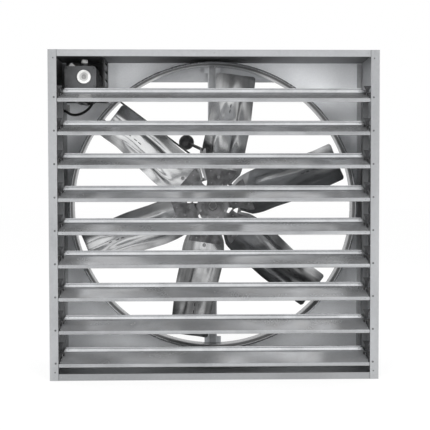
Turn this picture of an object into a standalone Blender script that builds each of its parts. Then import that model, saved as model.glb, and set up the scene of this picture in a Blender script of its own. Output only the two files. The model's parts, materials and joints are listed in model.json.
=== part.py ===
"""A belt-driven poultry house exhaust fan: a square galvanised box with nine outlet shutters, open.

Metres, +Z up. The outlet side, with the shutters, faces -Y; the inlet side faces +Y. The origin is
on the floor under the middle of the box. Depths are set back from the outlet face of the sheet.
"""

import math

import bmesh
import bpy
from mathutils import Matrix, Vector

# Casing
BOX_WIDTH = 1.380
BOX_HEIGHT = 1.380
BOX_DEPTH = 0.475
SHEET = 0.0015
SEAT_GAP = 0.0003
SIDE_FLANGE = 0.036
END_FLANGE = 0.028
INLET_TOP_FLANGE = 0.078
RIVET_RADIUS = 0.0042
RIVET_HEIGHT = 0.0015
OVERRUN = 0.004

# Orifice panel and venturi ring
ORIFICE_SETBACK = 0.380
ORIFICE_FLANGE = 0.022
AXIS_RISE = 0.035
THROAT_SIDE_ROOM = 0.058
THROAT_TOP_ROOM = 0.023
THROAT_MOTOR_ROOM = 0.038
RING_SETBACK = 0.220
RING_FLARE = 0.009
RING_FLANGE = 0.006
BEAD_RADIUS = 0.0042
RING_SIDES = 48

# Shutters: the pivot of the lowest one, and the blade's folds measured from its pivot
SHUTTER_COUNT = 9
LOWEST_PIVOT_HEIGHT = 0.0921
PIVOT_TOP_ROOM = 0.1783
PIVOT_SETBACK = 0.075
BLADE_SHEET = 0.0012
BLADE_END_ROOM = 0.0425
LIP_EXTRA = 0.005
LIP_REACH = 0.0715
LIP_BOTTOM = 0.0375
LIP_HEIGHT = 0.0150
LIP_HEM = 0.0055
RAIL_REACH = 0.026
RAIL_BOTTOM = 0.011
RAIL_HEIGHT = 0.019
HEEL_REACH = 0.062
HEEL_HEIGHT = 0.024
EAR_SHEET = 0.0012
EAR_PROUD = 0.0002
EAR_MARGIN = 0.0072
NOTCH_HALF = 0.0100
NOTCH_LENGTH = 0.0120
CRANK_REACH = 0.078
CRANK_HEIGHT = 0.012
CRANK_EYE = 0.010
PIN_CLEARANCE = 0.0003
HOLE_CLEARANCE = 0.0010

# Pivot strips and link bars
STUB_RADIUS = 0.0050
STUB_HEAD_RADIUS = 0.0075
STUB_HEAD_LENGTH = 0.0065
STRIP_WIDTH = 0.0225
STRIP_SHEET = 0.0025
STUD_DROP = 0.019
CLIP_HALF_HEIGHT = 0.0105
STUD_RADIUS = 0.0030
BUTTON_RADIUS = 0.0046
LINK_WIDTH = 0.024
LINK_SHEET = 0.002
LINK_DEPTH = 0.021
LINK_FRONT = 0.011
LINK_PIN_RADIUS = 0.004
LINK_PIN_REACH = 0.0025
LINK_SIDE_GAP = 0.0013
LINK_TAIL = 0.016

# Drop hammer on the third shutter
HAMMER_SHUTTER = 3
HAMMER_X = -0.047
HAMMER_LUG_WIDTH = 0.026
HAMMER_LUG_SHEET = 0.003
HAMMER_LUG_HEIGHT = 0.052
HAMMER_TAB = 0.018
HAMMER_ROD_RADIUS = 0.0052
HAMMER_ROD_HEIGHT = 0.043
BALL_RADIUS = 0.034
BALL_X = -0.1194
BALL_REACH = 0.216
BALL_HEIGHT = 0.0869

# Fan
TIP_CLEARANCE = 0.021
BLADE_COUNT = 6
BLADE_TURN = 10.0
BLADE_PLATE = 0.002
BLADE_SETBACK = 0.371
BLADE_SEAT_GAP = 0.0005
BLADE_ROOT_RADIUS = 0.112
BLADE_WIDTH = 0.212
BLADE_STATION_SHARES = (0.0, 0.09, 0.1875, 0.32, 0.55, 0.80, 0.95, 1.0)
BLADE_WIDTH_SHARES = (0.64, 0.92, 1.0, 1.0, 0.96, 0.87, 0.85, 0.71)
BLADE_LEAD_SHARES = (0.47, 0.455, 0.463, 0.475, 0.445, 0.44, 0.48, 0.50)
BLADE_CHORD_SHARES = (-0.5, -0.25, 0.0, 0.25, 0.5)
ROOT_PITCH = 26.0
TIP_PITCH = 15.0
BLADE_CAMBER_SHARE = 0.065
SPIDER_PLATE = 0.005
SPIDER_RADIUS = 0.070
ARM_PLATE = 0.003
ARM_WIDTH = 0.052
ARM_WIDTH_SHARES = (0.42, 0.62, 0.86, 1.0, 1.0, 1.0, 0.9)
ARM_START = 0.045
ARM_TWIST_START = 0.068
ARM_END = 0.205
FAN_BOLT_HEAD_RADIUS = 0.0075
FAN_BOLT_HEAD = 0.0052
ARM_BOLT_RADII = (0.134, 0.186)
HUB_BOLT_CIRCLE = 0.050

# Hub, axle and bearings
HUB_SETBACK = 0.352
HUB_LENGTH = 0.084
HUB_RADIUS = 0.030
HUB_FLANGE_RADIUS = 0.062
HUB_FLANGE = 0.006
HUB_BORE_RADIUS = 0.0170
AXLE_RADIUS = 0.010
AXLE_NUT_RADIUS = 0.0165
AXLE_NUT = 0.008
AXLE_BOSS_RADIUS = 0.017
AXLE_BOSS = 0.0035
BEARING_RADIUS = 0.0235
BEARING_WIDTH = 0.014
RACE_WALL = 0.0035
BALL_CLEARANCE = 0.0008

# Belt drive
PULLEY_SETBACK = 0.4075
PULLEY_WIDTH = 0.024
DRIVEN_RADIUS = 0.130
DRIVE_RADIUS = 0.038
RIM_OVER_PITCH = 0.005
RIM_WALL = 0.009
PULLEY_WEB = 0.007
PULLEY_BOSS_RADIUS = 0.044
PULLEY_SPOKES = 6
SPOKE_WIDTH = 0.022
BELT_TOP_WIDTH = 0.013
BELT_BASE_WIDTH = 0.009
BELT_HEIGHT = 0.008
BELT_CLEARANCE = 0.0010

# Support bar and its brackets
BAR_WIDTH = 0.040
BAR_DEPTH = 0.0313
BAR_SHEET = 0.003
BAR_SETBACK = 0.440
BRACKET_WIDTH = 0.077
BRACKET_SHEET = 0.003
BRACKET_FOOT = 0.045
UPPER_BRACKET_DROP = 0.038
LOWER_BRACKET_RISE = 0.108
FRAME_BOLT_RADIUS = 0.0075
FRAME_BOLT_HEAD = 0.0050

# Motor
MOTOR_WALL_ROOM = 0.114
MOTOR_TOP_ROOM = 0.111
MOTOR_SETBACK = 0.205
MOTOR_RADIUS = 0.088
FIN_COUNT = 18
FIN_DEPTH = 0.009
MOTOR_WALL = 0.007
STATOR_WALL = 0.020
STATOR_LENGTH = 0.075
ROTOR_RADIUS = 0.048
MOTOR_SHAFT_RADIUS = 0.0095
END_BELL_DEPTH = 0.020
END_BELL_WALL = 0.006
MOTOR_BEARING_RADIUS = 0.0200
MOTOR_BEARING_WIDTH = 0.011
SHAFT_HOLE_RADIUS = 0.024
MOTOR_BRACKET_WALL_ROOM = 0.022
MOTOR_BRACKET_WIDTH = 0.1905
MOTOR_BRACKET_DROP = 0.182
MOTOR_BRACKET_DEPTH = 0.165
MOTOR_BRACKET_SHEET = 0.003
MOTOR_BRACKET_BEND = 0.008
SLOT_COUNT = 5
SLOT_WIDTH = 0.012
SLOT_LENGTH = 0.095
BRACKET_BOLT_INSET = 0.014

# Terminal box
TERMINAL_SETBACK = 0.137
TERMINAL_ACROSS = 0.0026
TERMINAL_RISE = 0.014
TERMINAL_WIDTH = 0.134
TERMINAL_TALL = 0.094
TERMINAL_CORNER = 0.012
TERMINAL_WALL = 0.003
LID_THICKNESS = 0.004
CAP_OFFSET = 0.0162
CAP_RADIUS = 0.0295
CAP_DEPTH = 0.012
TOP_GLAND_RADIUS = 0.0130
TOP_GLAND_HEIGHT = 0.030
CABLE_GLAND_RADIUS = 0.0110
CABLE_GLAND_HEIGHT = 0.014
CABLE_GLAND_OFFSET = 0.0434

# Motor cable, held from the terminal box to the left wall: its route between, measured from the
# cable gland across, back and down
CABLE_RADIUS = 0.0055
CABLE_DROP = 0.012
CABLE_ROUTE = (
    (-0.001, 0.016, 0.026),
    (-0.012, 0.050, 0.046),
    (-0.036, 0.088, 0.066),
    (-0.066, 0.128, 0.079),
    (-0.094, 0.168, 0.078),
)
CABLE_TO_PANEL = 0.016
CABLE_WALL_DROP = 0.111
GROMMET_RADIUS = 0.0120
GROMMET_LENGTH = 0.010
CLIP_WIDTH = 0.012
CLIP_SHEET = 0.0018
CLIP_FOOT = 0.020

ROUND_SIDES = 16
SMALL_SIDES = 8
PIN_SIDES = 6
CAP_SIDES = 24
RIM_SIDES = 36

GALVANISED = ("galvanised", (0.56, 0.57, 0.58), 0.32, 1.0)
STAINLESS = ("stainless", (0.66, 0.67, 0.68), 0.15, 1.0)
STEEL = ("bright_steel", (0.48, 0.48, 0.49), 0.35, 1.0)
CASTING = ("grey_casting", (0.20, 0.20, 0.21), 0.55, 0.6)
BLACK_PAINT = ("black_paint", (0.012, 0.012, 0.013), 0.40, 0.0)
DARK_PLASTIC = ("dark_plastic", (0.050, 0.051, 0.053), 0.45, 0.0)
BLACK_PLASTIC = ("black_plastic", (0.010, 0.010, 0.011), 0.40, 0.0)
BLACK_RUBBER = ("black_rubber", (0.008, 0.008, 0.008), 0.65, 0.0)
WHITE_PLASTIC = ("white_plastic", (0.74, 0.74, 0.73), 0.35, 0.0)
LAMINATION = ("lamination", (0.16, 0.15, 0.15), 0.50, 0.8)

# Places worked out from the sizes above
OUTLET = -BOX_DEPTH / 2
HALF_WIDTH = BOX_WIDTH / 2
PIVOT_Y = OUTLET + PIVOT_SETBACK
SHUTTER_PITCH = (BOX_HEIGHT - PIVOT_TOP_ROOM - LOWEST_PIVOT_HEIGHT) / (SHUTTER_COUNT - 1)
BLADE_LENGTH = BOX_WIDTH - 2 * BLADE_END_ROOM
MOTOR_X = MOTOR_WALL_ROOM - HALF_WIDTH
MOTOR_HEIGHT = BOX_HEIGHT - MOTOR_TOP_ROOM
MOTOR_BRACKET_LEFT = MOTOR_BRACKET_WALL_ROOM - HALF_WIDTH
MOTOR_BRACKET_RIGHT = MOTOR_BRACKET_LEFT + MOTOR_BRACKET_WIDTH
TERMINAL_X = MOTOR_X + TERMINAL_ACROSS
TERMINAL_HEIGHT = MOTOR_HEIGHT + TERMINAL_RISE
CABLE_SETBACK = ORIFICE_SETBACK - CABLE_TO_PANEL
CABLE_WALL_HEIGHT = MOTOR_HEIGHT - CABLE_WALL_DROP
AXIS_HEIGHT = BOX_HEIGHT / 2 + AXIS_RISE
THROAT_ROOMS = (
    HALF_WIDTH - THROAT_SIDE_ROOM,
    BOX_HEIGHT - AXIS_HEIGHT - THROAT_TOP_ROOM,
    math.hypot(MOTOR_BRACKET_RIGHT, BOX_HEIGHT - MOTOR_BRACKET_DROP - AXIS_HEIGHT) - THROAT_MOTOR_ROOM,
)
THROAT_RADIUS = min(THROAT_ROOMS)
FAN_RADIUS = THROAT_RADIUS - TIP_CLEARANCE


def deep(setback):
    """The Y of a point that lies this far behind the outlet face."""
    return OUTLET + setback


def pivot_height(number):
    """The pivot's Z of a shutter, counted from 1 at the top."""
    return LOWEST_PIVOT_HEIGHT + SHUTTER_PITCH * (SHUTTER_COUNT - number)


# Materials and objects


def material(finish):
    name, colour, roughness, metallic = finish
    found = bpy.data.materials.get(name)
    if found:
        return found
    made = bpy.data.materials.new(name)
    made.use_nodes = True
    shader = made.node_tree.nodes["Principled BSDF"]
    shader.inputs["Base Color"].default_value = (*colour, 1.0)
    shader.inputs["Roughness"].default_value = roughness
    shader.inputs["Metallic"].default_value = metallic
    return made


def add_object(name, mesh, finish, smooth=True):
    """Puts a mesh in the scene under this name, shaded smooth across its shallow edges."""
    if smooth:
        mesh.shade_smooth()
        mesh.set_sharp_from_angle(angle=math.radians(35))
    mesh.materials.clear()
    mesh.materials.append(material(finish))
    made = bpy.data.objects.new(name, mesh)
    bpy.context.collection.objects.link(made)
    return made


def as_mesh(name, shape):
    """Turns a bmesh into a mesh with its faces pointing out."""
    bmesh.ops.recalc_face_normals(shape, faces=shape.faces)
    mesh = bpy.data.meshes.new(name)
    shape.to_mesh(mesh)
    shape.free()
    return mesh


def combine(shapes):
    """Gathers several bmeshes into one, as separate bodies."""
    whole = bmesh.new()
    for shape in shapes:
        scrap = bpy.data.meshes.new("scrap")
        shape.to_mesh(scrap)
        shape.free()
        whole.from_mesh(scrap)
        bpy.data.meshes.remove(scrap)
    return whole


def boolean(shape, others, operation):
    """Cuts or joins closed bmeshes with Blender's exact solver, and gives the result as a bmesh."""
    bmesh.ops.recalc_face_normals(shape, faces=shape.faces)
    base = bpy.data.objects.new("base", bpy.data.meshes.new("base"))
    shape.to_mesh(base.data)
    shape.free()
    bpy.context.collection.objects.link(base)
    tools = []
    for other in others:
        bmesh.ops.recalc_face_normals(other, faces=other.faces)
        tool = bpy.data.objects.new("tool", bpy.data.meshes.new("tool"))
        other.to_mesh(tool.data)
        other.free()
        bpy.context.collection.objects.link(tool)
        step = base.modifiers.new("step", "BOOLEAN")
        step.operation = operation
        step.solver = "EXACT"
        step.object = tool
        tools.append(tool)
    bpy.context.view_layer.update()
    graph = bpy.context.evaluated_depsgraph_get()
    result = bmesh.new()
    result.from_mesh(base.evaluated_get(graph).to_mesh())
    for scrap in tools + [base]:
        mesh = scrap.data
        bpy.data.objects.remove(scrap)
        bpy.data.meshes.remove(mesh)
    bmesh.ops.triangulate(result, faces=result.faces)
    return result


# Shapes


def box(low, high):
    """A block between two corners."""
    shape = bmesh.new()
    bmesh.ops.create_cube(shape, size=1.0)
    middle = [(a + b) / 2 for a, b in zip(low, high)]
    bmesh.ops.scale(shape, vec=[b - a for a, b in zip(low, high)], verts=shape.verts)
    bmesh.ops.translate(shape, vec=middle, verts=shape.verts)
    return shape


PLANES = {
    "X": lambda u, v, w: (w, u, v),
    "Y": lambda u, v, w: (u, w, v),
    "Z": lambda u, v, w: (u, v, w),
}


def prism(outline, axis, low, high, holes=()):
    """A plate of this outline, with holes, between two places on an axis.

    The outline's points are (y, z) for X, (x, z) for Y and (x, y) for Z.
    """
    shape = bmesh.new()
    rings = [[shape.verts.new(PLANES[axis](u, v, low)) for u, v in loop] for loop in (outline, *holes)]
    if holes:
        edges = [shape.edges.new((ring[i - 1], ring[i])) for ring in rings for i in range(len(ring))]
        bmesh.ops.triangle_fill(shape, edges=edges, use_beauty=True)
    else:
        shape.faces.new(rings[0])
    base = list(shape.faces)
    grown = bmesh.ops.extrude_face_region(shape, geom=base)
    moved = [item for item in grown["geom"] if isinstance(item, bmesh.types.BMVert)]
    travel = Vector(PLANES[axis](0, 0, high)) - Vector(PLANES[axis](0, 0, low))
    bmesh.ops.translate(shape, vec=travel, verts=moved)
    return shape


def turned(profile, centre, sides=ROUND_SIDES, axis="Y"):
    """A body turned about an axis through the centre: profile points are (radius, place on the axis)."""
    shape = bmesh.new()
    rings = []
    for radius, place in profile:
        if radius == 0:
            rings.append([shape.verts.new(turned_point(axis, 0, 0, place, centre))])
            continue
        ring = []
        for step in range(sides):
            angle = 2 * math.pi * step / sides
            point = turned_point(axis, radius * math.cos(angle), radius * math.sin(angle), place, centre)
            ring.append(shape.verts.new(point))
        rings.append(ring)
    for first, second in zip(rings, rings[1:] + rings[:1]):
        if len(first) == 1 and len(second) == 1:
            continue
        for step in range(sides):
            after = (step + 1) % sides
            if len(first) == 1:
                shape.faces.new((first[0], second[after], second[step]))
            elif len(second) == 1:
                shape.faces.new((first[step], first[after], second[0]))
            else:
                shape.faces.new((first[step], first[after], second[after], second[step]))
    return shape


def turned_point(axis, u, v, place, centre):
    across, along, up = centre
    if axis == "Y":
        return (across + u, along + place, up + v)
    if axis == "Z":
        return (across + u, along + v, up + place)
    return (across + place, along + u, up + v)


def rod(radius, low, high, centre, sides=SMALL_SIDES, axis="Y"):
    """A plain round bar."""
    return turned([(0, low), (radius, low), (radius, high), (0, high)], centre, sides, axis)


def ring_points(radius, sides, centre=(0, 0)):
    """A round outline."""
    return [
        (
            centre[0] + radius * math.cos(2 * math.pi * step / sides),
            centre[1] + radius * math.sin(2 * math.pi * step / sides),
        )
        for step in range(sides)
    ]


def rectangle(low_u, low_v, high_u, high_v):
    return [(low_u, low_v), (high_u, low_v), (high_u, high_v), (low_u, high_v)]


def rounded_rectangle(centre, width, height, corner, steps=3):
    """A rectangle with round corners."""
    points = []
    for quarter in range(4):
        start = math.pi / 2 * quarter
        side_u = 1 if quarter in (0, 3) else -1
        side_v = 1 if quarter in (0, 1) else -1
        middle_u = centre[0] + side_u * (width / 2 - corner)
        middle_v = centre[1] + side_v * (height / 2 - corner)
        for step in range(steps + 1):
            angle = start + math.pi / 2 * step / steps
            points.append((middle_u + corner * math.cos(angle), middle_v + corner * math.sin(angle)))
    return points


def folded(points, thickness):
    """The outline of a folded sheet whose middle follows these points."""
    half = thickness / 2
    line = [Vector(point) for point in points]
    left, right = [], []
    for number, point in enumerate(line):
        before = (point - line[number - 1]).normalized() if number else None
        after = (line[number + 1] - point).normalized() if number < len(line) - 1 else None
        before = before or after
        after = after or before
        normal_a = Vector((-before.y, before.x))
        normal_b = Vector((-after.y, after.x))
        mitre = (normal_a + normal_b).normalized()
        reach = half / mitre.dot(normal_a)
        left.append(point + mitre * reach)
        right.append(point - mitre * reach)
    return [tuple(point) for point in left] + [tuple(point) for point in reversed(right)]


def mirrored(shape):
    """A copy of a bmesh on the other side of the middle."""
    other = shape.copy()
    bmesh.ops.scale(other, vec=(-1, 1, 1), verts=other.verts)
    bmesh.ops.reverse_faces(other, faces=other.faces)
    return other


def moved(shape, offset):
    bmesh.ops.translate(shape, vec=offset, verts=shape.verts)
    return shape


# Casing


def side_panel(side):
    """A full-height channel with its flanges turned in, and a hole for each clip's stud."""
    outer, inner = HALF_WIDTH, HALF_WIDTH - SHEET
    lip = HALF_WIDTH - SIDE_FLANGE
    front, back = OUTLET, -OUTLET
    outline = [
        (lip, front),
        (outer, front),
        (outer, back),
        (lip, back),
        (lip, back - SHEET),
        (inner, back - SHEET),
        (inner, front + SHEET),
        (lip, front + SHEET),
    ]
    shape = prism(outline, "Z", 0, BOX_HEIGHT)
    holes = []
    for number in range(1, SHUTTER_COUNT + 1):
        centre = (stud_x(), 0, pivot_height(number) - STUD_DROP)
        low, high = front - OVERRUN, front + SHEET + OVERRUN
        holes.append(rod(STUD_RADIUS + PIN_CLEARANCE, low, high, centre, PIN_SIDES))
    shape = boolean(shape, [combine(holes)], "DIFFERENCE")
    shape = boolean(shape, [corner_rivets()], "UNION")
    return shape if side > 0 else mirrored(shape)


def end_panel(top):
    """The top or bottom: its flanges lap behind the side panels' flanges."""
    half = HALF_WIDTH - SHEET - SEAT_GAP
    front = OUTLET + SHEET + SEAT_GAP
    back = -front
    face = BOX_HEIGHT if top else 0
    step = -1 if top else 1
    inlet = INLET_TOP_FLANGE if top else END_FLANGE
    outline = [
        (front, face + step * END_FLANGE),
        (front, face),
        (back, face),
        (back, face + step * inlet),
        (back - SHEET, face + step * inlet),
        (back - SHEET, face + step * SHEET),
        (front + SHEET, face + step * SHEET),
        (front + SHEET, face + step * END_FLANGE),
    ]
    return prism(outline, "X", -half, half)


def corner_rivets():
    """Domed rivet heads where the right side's flanges lap the ends', front and back."""
    heads = []
    x = HALF_WIDTH - SIDE_FLANGE / 2
    for z in (END_FLANGE / 2, BOX_HEIGHT - END_FLANGE / 2):
        for face in (-1, 1):
            inside = face * (-OUTLET - SHEET / 2)
            rim = face * (-OUTLET + RIVET_HEIGHT / 3)
            crown = face * (-OUTLET + RIVET_HEIGHT)
            profile = [
                (0, inside),
                (RIVET_RADIUS, inside),
                (RIVET_RADIUS, rim),
                (RIVET_RADIUS * 0.62, crown),
                (0, crown),
            ]
            heads.append(turned(profile, (x, 0, z), SMALL_SIDES))
    return combine(heads)


def orifice_panel():
    """The inner wall: a big round hole for the ring, a hole for the motor shaft, and folded edges."""
    half = HALF_WIDTH - SHEET - SEAT_GAP
    low, high = SHEET + SEAT_GAP, BOX_HEIGHT - SHEET - SEAT_GAP
    front = deep(ORIFICE_SETBACK)
    hole = ring_points(panel_hole_radius(), RING_SIDES, (0, AXIS_HEIGHT))
    shaft = ring_points(SHAFT_HOLE_RADIUS, ROUND_SIDES, (MOTOR_X, MOTOR_HEIGHT))
    edge = EAR_PROUD
    plate = prism(rectangle(-half + edge, low, half - edge, high), "Y", front, front + SHEET, (hole, shaft))
    folds = []
    for side in (-1, 1):
        near, far = sorted((side * half, side * (half - SHEET)))
        folds.append(box((near, front + SHEET / 2, low + edge), (far, front + ORIFICE_FLANGE, high - edge)))
    return boolean(plate, [combine(folds)], "UNION")


def panel_hole_radius():
    return THROAT_RADIUS + SHEET + RING_FLARE + SEAT_GAP * 5


def venturi_ring():
    """A collar with a rolled bead at its front and a flare and flange at its back, on the panel."""
    front = deep(RING_SETBACK)
    seat = deep(ORIFICE_SETBACK) - SEAT_GAP
    inner, outer = THROAT_RADIUS, THROAT_RADIUS + SHEET
    rim = panel_hole_radius() + RING_FLANGE
    flare = RING_FLARE
    profile = [
        (inner, front),
        (inner, seat - flare - SHEET),
        (inner + flare + SHEET, seat),
        (rim, seat),
        (rim, seat - SHEET),
        (outer + flare, seat - SHEET),
        (outer, seat - SHEET - flare),
        (outer, front + BEAD_RADIUS * 2),
        (outer + BEAD_RADIUS * 1.3, front + BEAD_RADIUS * 1.5),
        (outer + BEAD_RADIUS * 1.3, front + BEAD_RADIUS * 0.5),
        (outer + BEAD_RADIUS * 0.6, front),
    ]
    return turned(profile, (0, 0, AXIS_HEIGHT), RING_SIDES)


# Shutters


def blade_line():
    """The folded blade's middle line, from the lip's hem to the heel."""
    return [
        (-LIP_REACH + LIP_HEM, -LIP_BOTTOM),
        (-LIP_REACH, -LIP_BOTTOM),
        (-LIP_REACH, -LIP_BOTTOM + LIP_HEIGHT),
        (RAIL_REACH, RAIL_BOTTOM),
        (RAIL_REACH, RAIL_BOTTOM + RAIL_HEIGHT),
        (HEEL_REACH, HEEL_HEIGHT),
    ]


def heel_under(reach):
    """The height of the heel's underside at a distance behind the pivot."""
    top = RAIL_BOTTOM + RAIL_HEIGHT
    share = (reach - RAIL_REACH) / (HEEL_REACH - RAIL_REACH)
    slope = math.hypot(HEEL_REACH - RAIL_REACH, HEEL_HEIGHT - top) / (HEEL_REACH - RAIL_REACH)
    return top + (HEEL_HEIGHT - top) * share - BLADE_SHEET / 2 * slope


def shutter_ear(side):
    """The ear at a blade's end, with its pivot hole and the eye for the link bar's pin."""
    eye = STUB_RADIUS + EAR_MARGIN
    plane_front = -LIP_BOTTOM + LIP_HEIGHT
    heel_top = RAIL_BOTTOM + RAIL_HEIGHT
    outline = [
        (-LIP_REACH * 0.92, plane_front - BLADE_SHEET * 1.5),
        (-eye * 0.8, -eye),
        (eye * 0.8, -eye),
        (HEEL_REACH, CRANK_HEIGHT - CRANK_EYE),
    ]
    for angle in (-70, -20, 30, 80):
        turn = math.radians(angle)
        outline.append((CRANK_REACH + CRANK_EYE * math.cos(turn), CRANK_HEIGHT + CRANK_EYE * math.sin(turn)))
    outline += [
        (HEEL_REACH * 1.05, heel_under(HEEL_REACH) + BLADE_SHEET * 0.4),
        (RAIL_REACH, heel_top - BLADE_SHEET),
        (RAIL_REACH - BLADE_SHEET * 0.3, eye),
        (-eye * 0.6, eye),
        (-LIP_REACH * 0.92, plane_front + BLADE_SHEET * 3),
    ]
    pivot = ring_points(STUB_RADIUS + HOLE_CLEARANCE, PIN_SIDES)
    crank = ring_points(LINK_PIN_RADIUS + HOLE_CLEARANCE, PIN_SIDES, (CRANK_REACH, CRANK_HEIGHT))
    near, far = sorted((side * ear_outer(), side * (ear_outer() - EAR_SHEET)))
    return prism(outline, "X", near, far, (pivot, crank))


def ear_outer():
    """How far the ear's outer face lies from the middle."""
    return BLADE_LENGTH / 2 + EAR_PROUD


def shutter_mesh():
    """One shutter about its pivot: the folded blade, its longer lip, notches for the clips, two ears."""
    half = BLADE_LENGTH / 2
    blade = prism(folded(blade_line(), BLADE_SHEET), "X", -half, half)
    notches = []
    for side in (-1, 1):
        near, far = sorted((side * (ear_outer() - EAR_SHEET - NOTCH_LENGTH), side * (half + OVERRUN)))
        notches.append(box((near, -NOTCH_HALF, -NOTCH_HALF), (far, NOTCH_HALF, NOTCH_HALF)))
    blade = boolean(blade, [combine(notches)], "DIFFERENCE")
    lip = [
        (-LIP_REACH + LIP_HEM * 0.9, -LIP_BOTTOM),
        (-LIP_REACH, -LIP_BOTTOM),
        (-LIP_REACH, -LIP_BOTTOM + LIP_HEIGHT - BLADE_SHEET),
    ]
    tabs = []
    for side in (-1, 1):
        near, far = sorted((side * (half - LIP_EXTRA), side * (half + LIP_EXTRA)))
        tabs.append(prism(folded(lip, BLADE_SHEET * 0.96), "X", near, far))
    parts = [combine(tabs), shutter_ear(-1), shutter_ear(1)]
    return as_mesh("shutter", boolean(blade, parts, "UNION"))


# Pivot strips and link bars


def strip_inner():
    """How far the strip's inner edge lies from the middle: in line with the side flange's edge."""
    return HALF_WIDTH - SIDE_FLANGE


def stud_x():
    return strip_inner() + STRIP_WIDTH / 2


def pivot_strip(side):
    """A strip behind the side flange with a clip, a stub pin and a stud for every shutter."""
    front = OUTLET + SHEET + SEAT_GAP
    back = front + STRIP_SHEET
    half = CLIP_HALF_HEIGHT
    outline = [(front, pivot_height(SHUTTER_COUNT) - STUD_DROP - half * 1.5)]
    outline.append((back, outline[0][1]))
    pins = []
    for number in range(SHUTTER_COUNT, 0, -1):
        middle = pivot_height(number)
        outline += [
            (back, middle - STUD_DROP - half),
            (PIVOT_Y + half * 0.4, middle - half),
            (PIVOT_Y + half, middle - half * 0.4),
            (PIVOT_Y + half, middle + half * 0.4),
            (PIVOT_Y + half * 0.4, middle + half),
            (back, middle - STUD_DROP + half),
        ]
        pins += [strip_stub(middle), strip_stud(middle - STUD_DROP)]
    top = pivot_height(1) - STUD_DROP + half * 1.5
    outline += [(back, top), (front, top)]
    strip = prism(outline, "X", strip_inner(), strip_inner() + STRIP_WIDTH)
    shape = boolean(strip, [combine(pins)], "UNION")
    return shape if side > 0 else mirrored(shape)


def strip_stub(height):
    """The stub pin that a shutter turns on, with its head inside the shutter's ear."""
    head = ear_outer() - EAR_SHEET - PIN_CLEARANCE * 3
    end = strip_inner() + STRIP_WIDTH / 2
    profile = [
        (0, head - STUB_HEAD_LENGTH),
        (STUB_HEAD_RADIUS, head - STUB_HEAD_LENGTH),
        (STUB_HEAD_RADIUS, head),
        (STUB_RADIUS, head),
        (STUB_RADIUS, end),
        (0, end),
    ]
    return turned(profile, (0, PIVOT_Y, height), PIN_SIDES, "X")


def strip_stud(height):
    """The stud through the side flange, with its button on the outlet face."""
    button = OUTLET - SEAT_GAP
    end = OUTLET + SHEET + SEAT_GAP + STRIP_SHEET / 2
    profile = [
        (0, OUTLET - RIVET_HEIGHT),
        (BUTTON_RADIUS, OUTLET - RIVET_HEIGHT),
        (BUTTON_RADIUS, button),
        (STUD_RADIUS, button),
        (STUD_RADIUS, end),
        (0, end),
    ]
    return turned(profile, (stud_x(), 0, height), PIN_SIDES)


def link_bar(side):
    """An angle bar behind the blades' ends, with a pin through every ear's eye."""
    near = ear_outer() + LINK_SIDE_GAP
    front = PIVOT_Y + CRANK_REACH - LINK_FRONT
    back = front + LINK_DEPTH
    outline = [
        (near, front),
        (near + LINK_WIDTH, front),
        (near + LINK_WIDTH, front + LINK_SHEET),
        (near + LINK_SHEET, front + LINK_SHEET),
        (near + LINK_SHEET, back),
        (near, back),
    ]
    low = pivot_height(SHUTTER_COUNT) + CRANK_HEIGHT - LINK_TAIL
    high = pivot_height(1) + CRANK_HEIGHT + LINK_TAIL
    bar = prism(outline, "Z", low, high)
    pins = []
    for number in range(1, SHUTTER_COUNT + 1):
        centre = (0, PIVOT_Y + CRANK_REACH, pivot_height(number) + CRANK_HEIGHT)
        end = ear_outer() - EAR_SHEET - LINK_PIN_REACH
        pins.append(rod(LINK_PIN_RADIUS, end, near + LINK_SHEET / 2, centre, PIN_SIDES, "X"))
    shape = boolean(bar, [combine(pins)], "UNION")
    return shape if side > 0 else mirrored(shape)


# Drop hammer


def hammer_bracket():
    """A folded lug under and behind the heel of its shutter, about that shutter's pivot."""
    start = HEEL_REACH - HAMMER_TAB
    back = HEEL_REACH + HAMMER_LUG_SHEET / 2
    outline = [
        (start, heel_under(start) - SEAT_GAP - HAMMER_LUG_SHEET),
        (back + HAMMER_LUG_SHEET, heel_under(back) - SEAT_GAP - HAMMER_LUG_SHEET),
        (back + HAMMER_LUG_SHEET, HAMMER_LUG_HEIGHT),
        (back, HAMMER_LUG_HEIGHT),
        (back, heel_under(back) - SEAT_GAP),
        (start, heel_under(start) - SEAT_GAP),
    ]
    half = HAMMER_LUG_WIDTH / 2
    lug = prism(outline, "X", HAMMER_X - half, HAMMER_X + half)
    return moved(lug, (0, PIVOT_Y, pivot_height(HAMMER_SHUTTER)))


def hammer_ends():
    """The rod's foot on the lug, and the ball's centre."""
    pivot = Vector((0, PIVOT_Y, pivot_height(HAMMER_SHUTTER)))
    foot_y = HEEL_REACH + HAMMER_LUG_SHEET * 1.5 + SEAT_GAP
    foot = pivot + Vector((HAMMER_X, foot_y, HAMMER_ROD_HEIGHT))
    ball = pivot + Vector((BALL_X, BALL_REACH, BALL_HEIGHT))
    return foot, ball


def slanted_rod(radius, start, end, sides):
    """A round bar between two points, its first end cut square to Y."""
    shape = bmesh.new()
    line = end - start
    across = Vector((0, 0, 1)).cross(line).normalized()
    up = line.cross(across).normalized()
    first, second = [], []
    for step in range(sides):
        angle = 2 * math.pi * step / sides
        spoke = (across * math.cos(angle) + up * math.sin(angle)) * radius
        first.append(shape.verts.new(start + spoke - line * (spoke.y / line.y)))
        second.append(shape.verts.new(end + spoke))
    for step in range(sides):
        after = (step + 1) % sides
        shape.faces.new((first[step], first[after], second[after], second[step]))
    shape.faces.new(first)
    shape.faces.new(second)
    return shape


def hammer_rod():
    """The rod from the lug up to the ball, hollowed at its end to sit on the ball."""
    foot, ball = hammer_ends()
    bar = slanted_rod(HAMMER_ROD_RADIUS, foot, ball, SMALL_SIDES)
    return boolean(bar, [round_ball(BALL_RADIUS + SEAT_GAP, ball)], "DIFFERENCE")


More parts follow.
